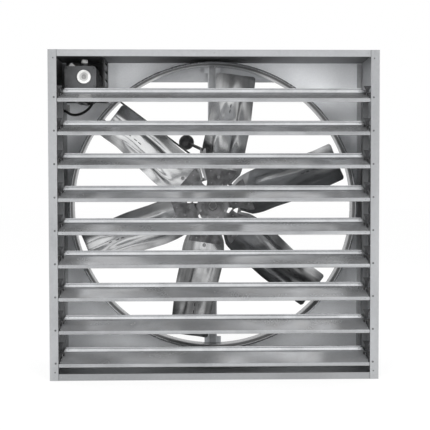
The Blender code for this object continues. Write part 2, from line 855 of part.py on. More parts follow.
def round_ball(radius, centre):
    shape = bmesh.new()
    bmesh.ops.create_uvsphere(shape, u_segments=16, v_segments=10, radius=radius)
    return moved(shape, centre)


def hammer_ball():
    return round_ball(BALL_RADIUS, hammer_ends()[1])


# Fan


def fan_centre():
    return (0, 0, AXIS_HEIGHT)


def pitch_at(radius):
    """The blade's angle to the plane of rotation, flat near the hub and easing towards the tip."""
    if radius <= ARM_TWIST_START:
        return 0.0
    if radius < BLADE_ROOT_RADIUS:
        share = (radius - ARM_TWIST_START) / (BLADE_ROOT_RADIUS - ARM_TWIST_START)
        return math.radians(ROOT_PITCH) * share * share * (3 - 2 * share)
    share = (radius - BLADE_ROOT_RADIUS) / (FAN_RADIUS - BLADE_ROOT_RADIUS)
    return math.radians(ROOT_PITCH + (TIP_PITCH - ROOT_PITCH) * share)


def camber_at(radius):
    """The depth of the blade's bow, none where it lies on its arm."""
    start = BLADE_ROOT_RADIUS + (FAN_RADIUS - BLADE_ROOT_RADIUS) * BLADE_STATION_SHARES[2]
    if radius <= start:
        return 0.0
    share = min(1.0, (radius - start) / (FAN_RADIUS - start) * 2)
    return BLADE_CAMBER_SHARE * BLADE_WIDTH * share


def swept_point(radius, chord, bow, lift, turn):
    """A point of a blade or arm: out by radius, across by chord, bowed back, and lifted to the front."""
    pitch = pitch_at(radius)
    across, back = math.cos(pitch), math.sin(pitch)
    side = chord * across - (lift - bow) * back
    depth = chord * back + (lift - bow) * across
    x = radius * math.sin(turn) + side * math.cos(turn)
    z = radius * math.cos(turn) - side * math.sin(turn)
    return (x, deep(BLADE_SETBACK) - depth, AXIS_HEIGHT + z)


def swept_plate(radii, widths, leads, chords, thickness, lift, turn):
    """A thin twisted plate: one row of points across at each radius."""
    shape = bmesh.new()
    layers = []
    for face in (-thickness / 2, thickness / 2):
        rows = []
        for radius, width, lead in zip(radii, widths, leads):
            row = []
            for chord in chords:
                bow = camber_at(radius) * (1 - (2 * chord) ** 2)
                place = (chord + 0.5 - lead) * width
                row.append(shape.verts.new(swept_point(radius, place, bow, lift + face, turn)))
            rows.append(row)
        layers.append(rows)
    under, over = layers
    last, edge = len(radii) - 1, len(chords) - 1
    for i in range(last):
        for j in range(edge):
            shape.faces.new((under[i][j], under[i][j + 1], under[i + 1][j + 1], under[i + 1][j]))
            shape.faces.new((over[i][j], over[i + 1][j], over[i + 1][j + 1], over[i][j + 1]))
        shape.faces.new((under[i][0], under[i + 1][0], over[i + 1][0], over[i][0]))
        shape.faces.new((under[i][edge], over[i][edge], over[i + 1][edge], under[i + 1][edge]))
    for j in range(edge):
        shape.faces.new((under[0][j], over[0][j], over[0][j + 1], under[0][j + 1]))
        shape.faces.new((under[last][j], under[last][j + 1], over[last][j + 1], over[last][j]))
    return shape


def blade_turn(number):
    return math.radians(BLADE_TURN + 360 / BLADE_COUNT * number)


def fan_blade(number):
    """A pressed blade on its arm that widens, bows and flattens towards the tip, with bolt heads."""
    span = FAN_RADIUS - BLADE_ROOT_RADIUS
    radii = [BLADE_ROOT_RADIUS + span * share for share in BLADE_STATION_SHARES]
    widths = [BLADE_WIDTH * share for share in BLADE_WIDTH_SHARES]
    turn = blade_turn(number)
    blade = swept_plate(radii, widths, BLADE_LEAD_SHARES, BLADE_CHORD_SHARES, BLADE_PLATE, 0, turn)
    heads = [bolt_head(radius, turn, 0, BLADE_PLATE / 2 + FAN_BOLT_HEAD) for radius in ARM_BOLT_RADII]
    return boolean(blade, [combine(heads)], "UNION")


def bolt_head(radius, turn, inside, crown):
    """A six-sided head that starts inside the plate and stands square to it."""
    base = Vector(swept_point(radius, 0, 0, inside, turn))
    top = Vector(swept_point(radius, 0, 0, crown, turn))
    line = top - base
    head = bmesh.new()
    size = FAN_BOLT_HEAD_RADIUS
    bmesh.ops.create_cone(head, cap_ends=True, segments=6, radius1=size, radius2=size, depth=line.length)
    spin = line.to_track_quat("Z", "Y").to_matrix().to_4x4()
    bmesh.ops.transform(head, matrix=Matrix.Translation((base + top) / 2) @ spin, verts=head.verts)
    return head


def arm_lift():
    """The arm's middle surface lies behind the blade's by both half plates and the seat."""
    return -(BLADE_PLATE + ARM_PLATE) / 2 - BLADE_SEAT_GAP


def spider_middle():
    """The depth of the middle of the spider's disc, in line with its arms."""
    return deep(BLADE_SETBACK) - arm_lift()


def blade_spider():
    """The disc on the hub with six twisted arms, nuts behind the arms and bolt heads on the disc."""
    middle = spider_middle()
    disc = prism(
        ring_points(SPIDER_RADIUS, ROUND_SIDES, (0, AXIS_HEIGHT)),
        "Y",
        middle - SPIDER_PLATE / 2,
        middle + SPIDER_PLATE / 2,
        (ring_points(HUB_RADIUS + SEAT_GAP, ROUND_SIDES, (0, AXIS_HEIGHT)),),
    )
    radii = [ARM_START, ARM_TWIST_START]
    radii += [ARM_TWIST_START + (BLADE_ROOT_RADIUS - ARM_TWIST_START) * n / 3 for n in (1, 2, 3)]
    radii += [(BLADE_ROOT_RADIUS + ARM_END) / 2, ARM_END]
    widths = [ARM_WIDTH * share for share in ARM_WIDTH_SHARES]
    arms = []
    fixings = []
    for number in range(BLADE_COUNT):
        turn = blade_turn(number)
        leads = [0.5] * len(radii)
        arms.append(swept_plate(radii, widths, leads, (-0.5, 0, 0.5), ARM_PLATE, arm_lift(), turn))
        back = arm_lift() - ARM_PLATE / 2 - FAN_BOLT_HEAD
        fixings += [bolt_head(radius, turn, arm_lift(), back) for radius in ARM_BOLT_RADII]
    for x, z in hub_bolt_centres():
        front = middle - SPIDER_PLATE / 2 - FAN_BOLT_HEAD
        fixings.append(rod(FAN_BOLT_HEAD_RADIUS, front, middle, (x, 0, z), 6))
    shape = boolean(disc, arms, "UNION")
    return boolean(shape, [combine(fixings)], "UNION")


def hub_bolt_centres():
    """The hub's bolts lie between the arms."""
    centres = []
    for number in range(BLADE_COUNT):
        turn = blade_turn(number) + math.pi / BLADE_COUNT
        centres.append((HUB_BOLT_CIRCLE * math.sin(turn), AXIS_HEIGHT + HUB_BOLT_CIRCLE * math.cos(turn)))
    return centres


# Hub, axle and bearings


def hub_flange_front():
    return spider_middle() + SPIDER_PLATE / 2 + SEAT_GAP


def bearing_starts():
    """Where each bearing starts: one at the hub's front, one at its back."""
    front = deep(HUB_SETBACK) + SEAT_GAP
    back = deep(HUB_SETBACK) + HUB_LENGTH - BEARING_WIDTH - SEAT_GAP
    return front, back


def fan_hub():
    """The turned hub: a boss with a seat for each bearing and a flange for the spider."""
    start = deep(HUB_SETBACK)
    end = start + HUB_LENGTH
    seat = BEARING_RADIUS + SEAT_GAP
    depth = BEARING_WIDTH + SEAT_GAP * 2
    flange = hub_flange_front()
    profile = [
        (seat, start),
        (HUB_RADIUS, start),
        (HUB_RADIUS, flange),
        (HUB_FLANGE_RADIUS, flange),
        (HUB_FLANGE_RADIUS, flange + HUB_FLANGE),
        (HUB_RADIUS, flange + HUB_FLANGE),
        (HUB_RADIUS, end),
        (seat, end),
        (seat, end - depth),
        (HUB_BORE_RADIUS, end - depth),
        (HUB_BORE_RADIUS, start + depth),
        (seat, start + depth),
    ]
    hub = turned(profile, fan_centre())
    nuts = []
    for x, z in hub_bolt_centres():
        middle = flange + HUB_FLANGE / 2
        nuts.append(rod(FAN_BOLT_HEAD_RADIUS, middle, flange + HUB_FLANGE + FAN_BOLT_HEAD, (x, 0, z), 6))
    return boolean(hub, [combine(nuts)], "UNION")


def bearing_race(rear, outer):
    """A bearing's outer race, which turns with the hub, or its inner race, fixed on the axle."""
    start = bearing_starts()[rear]
    end = start + BEARING_WIDTH
    high = BEARING_RADIUS if outer else AXLE_RADIUS + SEAT_GAP + RACE_WALL
    low = high - RACE_WALL
    return turned([(low, start), (high, start), (high, end), (low, end)], fan_centre())


def ball_row(rear):
    """A bearing's row of balls in its cage, as one ring between the races."""
    inner = AXLE_RADIUS + SEAT_GAP + RACE_WALL
    outer = BEARING_RADIUS - RACE_WALL
    circle = (inner + outer) / 2
    radius = (outer - inner) / 2 - BALL_CLEARANCE
    middle = bearing_starts()[rear] + BEARING_WIDTH / 2
    section = ring_points(radius, 6, (circle, middle))
    return turned(section, fan_centre())


def axle():
    """The fixed axle: a bolt with its head in front of the bearings and its end behind the bar."""
    head = bearing_starts()[0] - SEAT_GAP - AXLE_NUT
    end = deep(BAR_SETBACK) + BAR_SHEET + AXLE_NUT * 1.4
    shank = rod(AXLE_RADIUS, head + AXLE_NUT / 2, end, fan_centre(), ROUND_SIDES)
    return boolean(shank, [rod(AXLE_NUT_RADIUS, head, head + AXLE_NUT, fan_centre(), 6)], "UNION")


def axle_nut():
    """The nut behind the bar's web."""
    start = deep(BAR_SETBACK) + BAR_SHEET + SEAT_GAP
    outline = ring_points(AXLE_NUT_RADIUS, 6, (0, AXIS_HEIGHT))
    bore = ring_points(AXLE_RADIUS + PIN_CLEARANCE, ROUND_SIDES, (0, AXIS_HEIGHT))
    return prism(outline, "Y", start, start + AXLE_NUT, (bore,))


# Belt drive


def groove_profile(pitch_radius, inner):
    """A pulley rim with a V groove: (radius, depth) points, closed."""
    start = deep(PULLEY_SETBACK)
    end = start + PULLEY_WIDTH
    middle = (start + end) / 2
    outer = pitch_radius + RIM_OVER_PITCH
    mouth = BELT_TOP_WIDTH / 2 + BELT_CLEARANCE * 1.2
    floor = BELT_BASE_WIDTH / 2 + BELT_CLEARANCE * 0.9
    bottom = belt_inner(pitch_radius) - BELT_CLEARANCE
    return [
        (inner, start),
        (outer, start),
        (outer, middle - mouth),
        (bottom, middle - floor),
        (bottom, middle + floor),
        (outer, middle + mouth),
        (outer, end),
        (inner, end),
    ]


def belt_inner(pitch_radius):
    """The radius of the belt's inner side where it runs round a pulley."""
    return pitch_radius - BELT_HEIGHT / 2


def driven_pulley():
    """The large pulley: grooved rim, six spokes, and a boss on the hub."""
    centre = (0, AXIS_HEIGHT)
    inner = belt_inner(DRIVEN_RADIUS) - BELT_CLEARANCE - RIM_WALL / 2
    rim = turned(groove_profile(DRIVEN_RADIUS, inner), fan_centre(), RIM_SIDES)
    start = deep(PULLEY_SETBACK)
    boss_end = start + PULLEY_WIDTH
    bore = HUB_RADIUS + SEAT_GAP
    hole = ring_points(bore, ROUND_SIDES, centre)
    boss = prism(ring_points(PULLEY_BOSS_RADIUS, ROUND_SIDES, centre), "Y", start, boss_end, (hole,))
    spokes = []
    web = start + (PULLEY_WIDTH - PULLEY_WEB) / 2
    for number in range(PULLEY_SPOKES):
        turn = 2 * math.pi * (number + 0.5) / PULLEY_SPOKES
        low = PULLEY_BOSS_RADIUS * 0.88
        high = inner + RIM_WALL * 0.2
        spoke = box((-SPOKE_WIDTH / 2, web, low), (SPOKE_WIDTH / 2, web + PULLEY_WEB, high))
        bmesh.ops.rotate(spoke, cent=(0, 0, 0), matrix=Matrix.Rotation(turn, 3, "Y"), verts=spoke.verts)
        spokes.append(moved(spoke, (0, 0, AXIS_HEIGHT)))
    return boolean(rim, [boss, combine(spokes)], "UNION")


def motor_pulley():
    """The small pulley on the motor's shaft."""
    inner = MOTOR_SHAFT_RADIUS + PIN_CLEARANCE
    return turned(groove_profile(DRIVE_RADIUS, inner), (MOTOR_X, 0, MOTOR_HEIGHT))


def v_belt():
    """The belt's loop: two straight runs and an arc round each pulley."""
    middle = deep(PULLEY_SETBACK) + PULLEY_WIDTH / 2
    fan, motor = Vector((0, AXIS_HEIGHT)), Vector((MOTOR_X, MOTOR_HEIGHT))
    line = motor - fan
    heading = math.atan2(line.y, line.x)
    lean = math.acos((DRIVEN_RADIUS - DRIVE_RADIUS) / line.length)
    stations = []
    for centre, radius, start, sweep, steps in (
        (motor, DRIVE_RADIUS, heading - lean, 2 * lean, 10),
        (fan, DRIVEN_RADIUS, heading + lean, 2 * math.pi - 2 * lean, 22),
    ):
        for step in range(steps + 1):
            angle = start + sweep * step / steps
            stations.append((centre, radius, Vector((math.cos(angle), math.sin(angle)))))
    shape = bmesh.new()
    rows = []
    for centre, radius, out in stations:
        row = []
        for reach, half in (
            (BELT_HEIGHT / 2, BELT_TOP_WIDTH / 2),
            (-BELT_HEIGHT / 2, BELT_BASE_WIDTH / 2),
        ):
            point = centre + out * (radius + reach)
            row.append(shape.verts.new((point.x, middle - half, point.y)))
            row.append(shape.verts.new((point.x, middle + half, point.y)))
        rows.append((row[0], row[1], row[3], row[2]))
    for first, second in zip(rows, rows[1:] + rows[:1]):
        for corner in range(4):
            after = (corner + 1) % 4
            shape.faces.new((first[corner], first[after], second[after], second[corner]))
    return shape


# Support bar


def support_bar():
    """An upright channel, open towards the inlet, with a boss and a hole for the axle."""
    half = BAR_WIDTH / 2
    front = deep(BAR_SETBACK)
    back = front + BAR_DEPTH
    outline = [
        (-half, front),
        (half, front),
        (half, back),
        (half - BAR_SHEET, back),
        (half - BAR_SHEET, front + BAR_SHEET),
        (-half + BAR_SHEET, front + BAR_SHEET),
        (-half + BAR_SHEET, back),
        (-half, back),
    ]
    bar = prism(outline, "Z", SHEET + SEAT_GAP, BOX_HEIGHT - SHEET - SEAT_GAP)
    boss = rod(AXLE_BOSS_RADIUS, front - AXLE_BOSS, front + BAR_SHEET / 2, fan_centre(), ROUND_SIDES)
    low, high = front - AXLE_BOSS - OVERRUN, front + BAR_SHEET + OVERRUN
    hole = rod(AXLE_RADIUS + PIN_CLEARANCE, low, high, fan_centre(), ROUND_SIDES)
    return boolean(boolean(bar, [boss], "UNION"), [hole], "DIFFERENCE")


def bar_bracket(upper):
    """An angle that ties the bar's front to the top or bottom panel, with its bolts."""
    back = deep(BAR_SETBACK) - SEAT_GAP
    front = back - BRACKET_FOOT
    step = -1 if upper else 1
    face = BOX_HEIGHT - SHEET - SEAT_GAP if upper else SHEET + SEAT_GAP
    leg = UPPER_BRACKET_DROP if upper else LOWER_BRACKET_RISE
    outline = [
        (front, face),
        (back, face),
        (back, face + step * leg),
        (back - BRACKET_SHEET, face + step * leg),
        (back - BRACKET_SHEET, face + step * BRACKET_SHEET),
        (front, face + step * BRACKET_SHEET),
    ]
    plate = prism(outline, "X", -BRACKET_WIDTH / 2, BRACKET_WIDTH / 2)
    heads = []
    for side in (-1, 1):
        centre = (side * BRACKET_WIDTH * 0.3, back - BRACKET_FOOT * 0.62, 0)
        reaches = (BRACKET_SHEET / 2, BRACKET_SHEET + FRAME_BOLT_HEAD)
        low, high = sorted(face + step * reach for reach in reaches)
        heads.append(rod(FRAME_BOLT_RADIUS, low, high, centre, 6, "Z"))
    z = face + step * (leg - FRAME_BOLT_RADIUS * 1.6)
    near = back - BRACKET_SHEET - FRAME_BOLT_HEAD
    heads.append(rod(FRAME_BOLT_RADIUS, near, back - BRACKET_SHEET / 2, (0, 0, z), 6))
    return boolean(plate, [combine(heads)], "UNION")


# Motor


def motor_centre():
    return (MOTOR_X, 0, MOTOR_HEIGHT)


def motor_ends():
    """The front and back of the motor's finned body, which runs back to its bracket."""
    bracket = deep(ORIFICE_SETBACK) - SEAT_GAP - MOTOR_BRACKET_SHEET
    return deep(MOTOR_SETBACK), bracket - SEAT_GAP * 2 - END_BELL_DEPTH


def motor_body():
    """The finned barrel, open at both ends."""
    outline = []
    root = MOTOR_RADIUS - FIN_DEPTH
    for number in range(FIN_COUNT):
        for offset, radius in ((0.0, root), (0.30, root), (0.42, MOTOR_RADIUS), (0.88, MOTOR_RADIUS)):
            turn = 2 * math.pi * (number + offset) / FIN_COUNT
            outline.append((MOTOR_X + radius * math.cos(turn), MOTOR_HEIGHT + radius * math.sin(turn)))
    bore = ring_points(root - MOTOR_WALL, ROUND_SIDES, (MOTOR_X, MOTOR_HEIGHT))
    start, end = motor_ends()
    return prism(outline, "Y", start, end, (bore,))


def motor_stator():
    """The laminated ring fixed in the barrel."""
    start, end = motor_ends()
    outer = MOTOR_RADIUS - FIN_DEPTH - MOTOR_WALL - SEAT_GAP
    inner = outer - STATOR_WALL
    middle = (start + end) / 2
    low, high = middle - STATOR_LENGTH / 2, middle + STATOR_LENGTH / 2
    return turned([(inner, low), (outer, low), (outer, high), (inner, high)], motor_centre())


def motor_rotor():
    """The shaft with the rotor's core, from the front bearing to the pulley."""
    start, end = motor_ends()
    middle = (start + end) / 2
    front = start - END_BELL_DEPTH + END_BELL_WALL * 1.3
    back = deep(PULLEY_SETBACK) + PULLEY_WIDTH + MOTOR_SHAFT_RADIUS * 0.4
    profile = [
        (0, front),
        (MOTOR_SHAFT_RADIUS, front),
        (MOTOR_SHAFT_RADIUS, middle - STATOR_LENGTH / 2),
        (ROTOR_RADIUS, middle - STATOR_LENGTH / 2),
        (ROTOR_RADIUS, middle + STATOR_LENGTH / 2),
        (MOTOR_SHAFT_RADIUS, middle + STATOR_LENGTH / 2),
        (MOTOR_SHAFT_RADIUS, back),
        (0, back),
    ]
    return turned(profile, motor_centre())


def end_bell(front):
    """A domed end shield with a bearing seat; the back one lets the shaft through."""
    start, end = motor_ends()
    step = -1 if front else 1
    face = (start if front else end) + step * SEAT_GAP
    seat = MOTOR_BEARING_RADIUS + SEAT_GAP
    outer = MOTOR_RADIUS * 0.985
    crown = face + step * END_BELL_DEPTH
    inside = crown - step * END_BELL_WALL
    hole = MOTOR_SHAFT_RADIUS * 1.25
    profile = [
        (outer, face),
        (outer, face + step * END_BELL_DEPTH * 0.45),
        (outer * 0.86, crown),
    ]
    profile += [(0, crown), (0, inside)] if front else [(hole, crown), (hole, inside)]
    profile += [
        (seat, inside),
        (seat, face),
        (seat + END_BELL_WALL * 0.7, face),
        (seat + END_BELL_WALL * 1.3, inside),
        (outer * 0.80, inside),
        (outer * 0.90, face),
    ]
    return turned(profile, motor_centre())


def motor_bearing(front):
    """A sealed bearing in an end bell, as one ring."""
    start, end = motor_ends()
    face, step = (start, -1) if front else (end, 1)
    near = face + step * (END_BELL_DEPTH - END_BELL_WALL - SEAT_GAP)
    far = near - step * MOTOR_BEARING_WIDTH
    low = MOTOR_SHAFT_RADIUS + HOLE_CLEARANCE
    profile = [(low, near), (MOTOR_BEARING_RADIUS, near), (MOTOR_BEARING_RADIUS, far), (low, far)]
    return turned(profile, motor_centre())


def motor_bracket():
    """A black angle: a plate behind the motor and a slotted wall beside it, bolted to the panel."""
    back = deep(ORIFICE_SETBACK) - SEAT_GAP
    sheet = MOTOR_BRACKET_SHEET
    left, right = MOTOR_BRACKET_LEFT, MOTOR_BRACKET_RIGHT
    front = back - MOTOR_BRACKET_DEPTH
    outline = [
        (left, back - sheet),
        (right - sheet, back - sheet),
        (right - sheet, front + sheet),
        (right - MOTOR_BRACKET_BEND, front + sheet),
        (right - MOTOR_BRACKET_BEND, front),
        (right, front),
        (right, back),
        (left, back),
    ]
    high = BOX_HEIGHT - SHEET - SEAT_GAP
    low = high - MOTOR_BRACKET_DROP
    plate = prism(outline, "Z", low, high)
    hole = rod(SHAFT_HOLE_RADIUS, back - sheet - OVERRUN, back + OVERRUN, motor_centre(), ROUND_SIDES)
    cutters = [hole]
    for number in range(SLOT_COUNT):
        z = low + MOTOR_BRACKET_DROP * (number + 0.5) / SLOT_COUNT
        middle = (front + back) / 2
        slot = rounded_rectangle((middle, z), SLOT_LENGTH, SLOT_WIDTH, SLOT_WIDTH * 0.4, 1)
        cutters.append(prism(slot, "X", right - sheet - OVERRUN, right + OVERRUN))
    shape = boolean(plate, [combine(cutters)], "DIFFERENCE")
    heads = []
    for x in (left + BRACKET_BOLT_INSET, right - sheet - BRACKET_BOLT_INSET):
        for z in (low + BRACKET_BOLT_INSET, high - BRACKET_BOLT_INSET):
            seat, outer = back - sheet / 2, back - sheet - FRAME_BOLT_HEAD
            heads.append(rod(FRAME_BOLT_RADIUS, outer, seat, (x, 0, z), 6))
    return boolean(shape, [combine(heads)], "UNION")


# Terminal box


def terminal_outline(shrink):
    centre = (TERMINAL_X, TERMINAL_HEIGHT)
    width, height = TERMINAL_WIDTH - 2 * shrink, TERMINAL_TALL - 2 * shrink
    return rounded_rectangle(centre, width, height, TERMINAL_CORNER - shrink)


def terminal_back():
    """The box's back seats on the motor's front end bell."""
    return motor_ends()[0] - SEAT_GAP * 2 - END_BELL_DEPTH


def terminal_box():
    """An open tray with its back on the motor."""
    front = deep(TERMINAL_SETBACK) + LID_THICKNESS + SEAT_GAP
    back = terminal_back()
    wall = TERMINAL_WALL
    tray = prism(terminal_outline(0), "Y", front, back)
    pocket = prism(terminal_outline(wall), "Y", front - OVERRUN, back - wall)
    return boolean(tray, [pocket], "DIFFERENCE")


def terminal_lid():
    front = deep(TERMINAL_SETBACK)
    return prism(terminal_outline(0), "Y", front, front + LID_THICKNESS)


def cap_centre():
    return (TERMINAL_X + CAP_OFFSET, 0, TERMINAL_HEIGHT)


def terminal_cap():
    """The round white cap on the lid, stepped in rings round a small boss."""
    back = deep(TERMINAL_SETBACK) - SEAT_GAP
    front = back - CAP_DEPTH
    radius = CAP_RADIUS
    profile = [
        (0, back),
        (radius, back),
        (radius, front + CAP_DEPTH * 0.35),
        (radius * 0.88, front),
        (radius * 0.66, front),
        (radius * 0.58, front + CAP_DEPTH * 0.35),
        (radius * 0.26, front + CAP_DEPTH * 0.35),
        (radius * 0.22, front + CAP_DEPTH * 0.1),
        (0, front + CAP_DEPTH * 0.1),
    ]
    return turned(profile, cap_centre(), CAP_SIDES)


def top_gland():
    """The stepped post on the terminal box's top."""
    base = TERMINAL_HEIGHT + TERMINAL_TALL / 2 + SEAT_GAP
    radius, height = TOP_GLAND_RADIUS, TOP_GLAND_HEIGHT
    profile = [
        (0, base),
        (radius, base),
        (radius, base + height * 0.5),
        (radius * 0.75, base + height * 0.55),
        (radius * 0.75, base + height),
        (0, base + height),
    ]
    return turned(profile, (cap_centre()[0], terminal_middle(), 0), ROUND_SIDES // 2, "Z")


def cable_gland():
    """The gland under the terminal box that the cable leaves through."""
    base = TERMINAL_HEIGHT - TERMINAL_TALL / 2 - SEAT_GAP
    radius, height = CABLE_GLAND_RADIUS, CABLE_GLAND_HEIGHT
    profile = [
        (0, base),
        (radius, base),
        (radius, base - height * 0.6),
        (radius * 0.75, base - height),
        (0, base - height),
    ]
    return turned(profile, (TERMINAL_X + CABLE_GLAND_OFFSET, terminal_middle(), 0), ROUND_SIDES // 2, "Z")


def terminal_middle():
    """The depth of the middle of the terminal box."""
    return (deep(TERMINAL_SETBACK) + LID_THICKNESS + terminal_back()) / 2


# Motor cable


def cable_wall():
    """Where the cable ends, on the grommet in the left wall."""
    return -HALF_WIDTH + SHEET + SEAT_GAP + GROMMET_LENGTH + SEAT_GAP


def cable_points():
    """The cable's route: down from the gland, back under the motor, through the clip to the wall."""
    x = TERMINAL_X + CABLE_GLAND_OFFSET
    y = terminal_middle()
    z = TERMINAL_HEIGHT - TERMINAL_TALL / 2 - CABLE_GLAND_HEIGHT - SEAT_GAP * 2
    points = [(x, y, z - CABLE_DROP * share) for share in (0, 0.5, 1)]
    points += [(x + across, y + back, z - down) for across, back, down in CABLE_ROUTE]
    for step in (3, 2, 1, 0):
        points.append((cable_wall() + CLIP_WIDTH * step, deep(CABLE_SETBACK), CABLE_WALL_HEIGHT))
    return points


def smooth_route(points, steps):
    """Points along a smooth curve through the route's own points."""
    route = [Vector(point) for point in points]
    padded = [route[0] * 2 - route[1], *route, route[-1] * 2 - route[-2]]
    found = []
    for i in range(1, len(padded) - 2):
        a, b, c, d = padded[i - 1 : i + 3]
        for step in range(steps):
            t = step / steps
            bend = (a * 2 - b * 5 + c * 4 - d) * t * t + (b * 3 - a - c * 3 + d) * t**3
            found.append((b * 2 + (c - a) * t + bend) / 2)
    found.append(route[-1])
    return found


def motor_cable():
    curve = bpy.data.curves.new("motor_cable", "CURVE")
    curve.dimensions = "3D"
    curve.bevel_depth = CABLE_RADIUS
    curve.bevel_resolution = 2
    curve.use_fill_caps = True
    points = smooth_route(cable_points(), 2)
    line = curve.splines.new("POLY")
    line.points.add(len(points) - 1)
    for slot, point in zip(line.points, points):
        slot.co = (*point, 1.0)
    curve.materials.append(material(BLACK_RUBBER))
    made = bpy.data.objects.new("motor_cable", curve)
    bpy.context.collection.objects.link(made)
    return made


def cable_grommet():
    """The grommet on the left wall that the cable ends in."""
    start = -HALF_WIDTH + SHEET + SEAT_GAP
    profile = [
        (0, start),
        (GROMMET_RADIUS, start),
        (GROMMET_RADIUS, start + GROMMET_LENGTH * 0.4),
        (GROMMET_RADIUS * 0.7, start + GROMMET_LENGTH),
        (0, start + GROMMET_LENGTH),
    ]
    return turned(profile, (0, deep(CABLE_SETBACK), CABLE_WALL_HEIGHT), ROUND_SIDES // 2, "X")


def cable_clip():
    """The clip that holds the cable to the orifice panel: a loop with a foot above it."""
    y, z = deep(CABLE_SETBACK), CABLE_WALL_HEIGHT
    back = deep(ORIFICE_SETBACK) - SEAT_GAP
    inner = CABLE_RADIUS + SEAT_GAP * 2
    outer = inner + CLIP_SHEET
    outline = []
    for angle in (60, 105, 150, 195, 240, 285):
        turn = math.radians(angle)
        outline.append((y + outer * math.cos(turn), z + outer * math.sin(turn)))
    outline += [
        (back - CLIP_SHEET, z - outer),
        (back, z - outer),
        (back, z + outer + CLIP_FOOT),
        (back - CLIP_SHEET, z + outer + CLIP_FOOT),
        (back - CLIP_SHEET, z + outer),
    ]
    near = cable_wall() + CLIP_WIDTH
    return prism(outline, "X", near, near + CLIP_WIDTH, (ring_points(inner, ROUND_SIDES, (y, z)),))


def build():
    for old in list(bpy.data.objects):
        bpy.data.objects.remove(old)
    plain = {
        "left_side_panel": (side_panel(-1), GALVANISED),
        "right_side_panel": (side_panel(1), GALVANISED),
        "top_panel": (end_panel(True), GALVANISED),
        "bottom_panel": (end_panel(False), GALVANISED),
        "orifice_panel": (orifice_panel(), GALVANISED),
        "venturi_ring": (venturi_ring(), GALVANISED),
        "left_pivot_strip": (pivot_strip(-1), BLACK_PLASTIC),
        "right_pivot_strip": (pivot_strip(1), BLACK_PLASTIC),
        "left_link_bar": (link_bar(-1), GALVANISED),
        "right_link_bar": (link_bar(1), GALVANISED),
        "hammer_bracket": (hammer_bracket(), CASTING),
        "hammer_rod": (hammer_rod(), BLACK_PAINT),
        "hammer_ball": (hammer_ball(), BLACK_PAINT),
        "blade_spider": (blade_spider(), CASTING),
        "fan_hub": (fan_hub(), CASTING),
        "front_outer_race": (bearing_race(0, True), STEEL),
        "front_inner_race": (bearing_race(0, False), STEEL),
        "front_ball_row": (ball_row(0), STEEL),
        "rear_outer_race": (bearing_race(1, True), STEEL),
        "rear_inner_race": (bearing_race(1, False), STEEL),
        "rear_ball_row": (ball_row(1), STEEL),
        "axle": (axle(), STEEL),
        "axle_nut": (axle_nut(), STEEL),
        "driven_pulley": (driven_pulley(), CASTING),
        "motor_pulley": (motor_pulley(), CASTING),
        "v_belt": (v_belt(), BLACK_RUBBER),
        "support_bar": (support_bar(), GALVANISED),
        "upper_bar_bracket": (bar_bracket(True), CASTING),
        "lower_bar_bracket": (bar_bracket(False), CASTING),
        "motor_body": (motor_body(), BLACK_PAINT),
        "motor_stator": (motor_stator(), LAMINATION),
        "motor_rotor": (motor_rotor(), STEEL),
        "front_end_bell": (end_bell(True), BLACK_PAINT),
        "rear_end_bell": (end_bell(False), BLACK_PAINT),
        "front_motor_bearing": (motor_bearing(True), STEEL),
        "rear_motor_bearing": (motor_bearing(False), STEEL),
        "motor_bracket": (motor_bracket(), BLACK_PAINT),
        "terminal_box": (terminal_box(), DARK_PLASTIC),
        "terminal_lid": (terminal_lid(), DARK_PLASTIC),
        "terminal_cap": (terminal_cap(), WHITE_PLASTIC),
        "top_gland": (top_gland(), STEEL),
        "cable_gland": (cable_gland(), BLACK_PLASTIC),
        "cable_clip": (cable_clip(), STEEL),
        "cable_grommet": (cable_grommet(), BLACK_RUBBER),
    }
    for name, (shape, finish) in plain.items():
        add_object(name, as_mesh(name, shape), finish)
    for number in range(BLADE_COUNT):
        name = f"blade_{number + 1}"
        add_object(name, as_mesh(name, fan_blade(number)), STAINLESS)
    shutter = shutter_mesh()
    for number in range(1, SHUTTER_COUNT + 1):
        made = add_object(f"shutter_{number}", shutter, GALVANISED)
        made.location = (0, PIVOT_Y, pivot_height(number))
    motor_cable()


build()
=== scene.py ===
"""Looks of a belt-driven poultry house exhaust fan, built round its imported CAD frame.

Metres, +Z up. The outlet side, with the open shutters, faces -Y. Every new piece stands where the
frame's nodes and joints say, and rides on one of the frame's bodies.
"""

import json
import math
from functools import partial

import bmesh
import bpy
from bpy.props import FloatProperty, FloatVectorProperty, IntProperty, PointerProperty
from mathutils import Matrix, Vector


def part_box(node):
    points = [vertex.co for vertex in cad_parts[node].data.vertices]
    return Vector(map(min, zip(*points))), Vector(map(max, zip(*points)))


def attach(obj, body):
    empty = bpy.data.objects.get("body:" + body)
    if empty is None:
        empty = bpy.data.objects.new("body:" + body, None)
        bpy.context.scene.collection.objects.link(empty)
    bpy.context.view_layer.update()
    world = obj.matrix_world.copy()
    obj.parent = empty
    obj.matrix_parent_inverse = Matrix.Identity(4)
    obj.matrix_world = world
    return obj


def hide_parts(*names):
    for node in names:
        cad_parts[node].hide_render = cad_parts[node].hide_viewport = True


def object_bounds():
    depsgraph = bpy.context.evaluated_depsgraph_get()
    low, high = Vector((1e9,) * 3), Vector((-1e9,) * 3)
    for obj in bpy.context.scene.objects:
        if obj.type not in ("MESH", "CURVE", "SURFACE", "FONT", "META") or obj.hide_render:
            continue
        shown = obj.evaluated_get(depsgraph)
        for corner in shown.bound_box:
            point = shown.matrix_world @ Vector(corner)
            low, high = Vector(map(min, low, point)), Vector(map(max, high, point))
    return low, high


bl_info = {
    "name": "Poultry house exhaust fan",
    "version": (1, 0, 0),
    "blender": (4, 5, 0),
    "location": "3D View > Sidebar > Exhaust fan",
    "description": "Models and finishes the sheet metal, fan, drive and motor of an exhaust fan",
    "category": "Object",
}

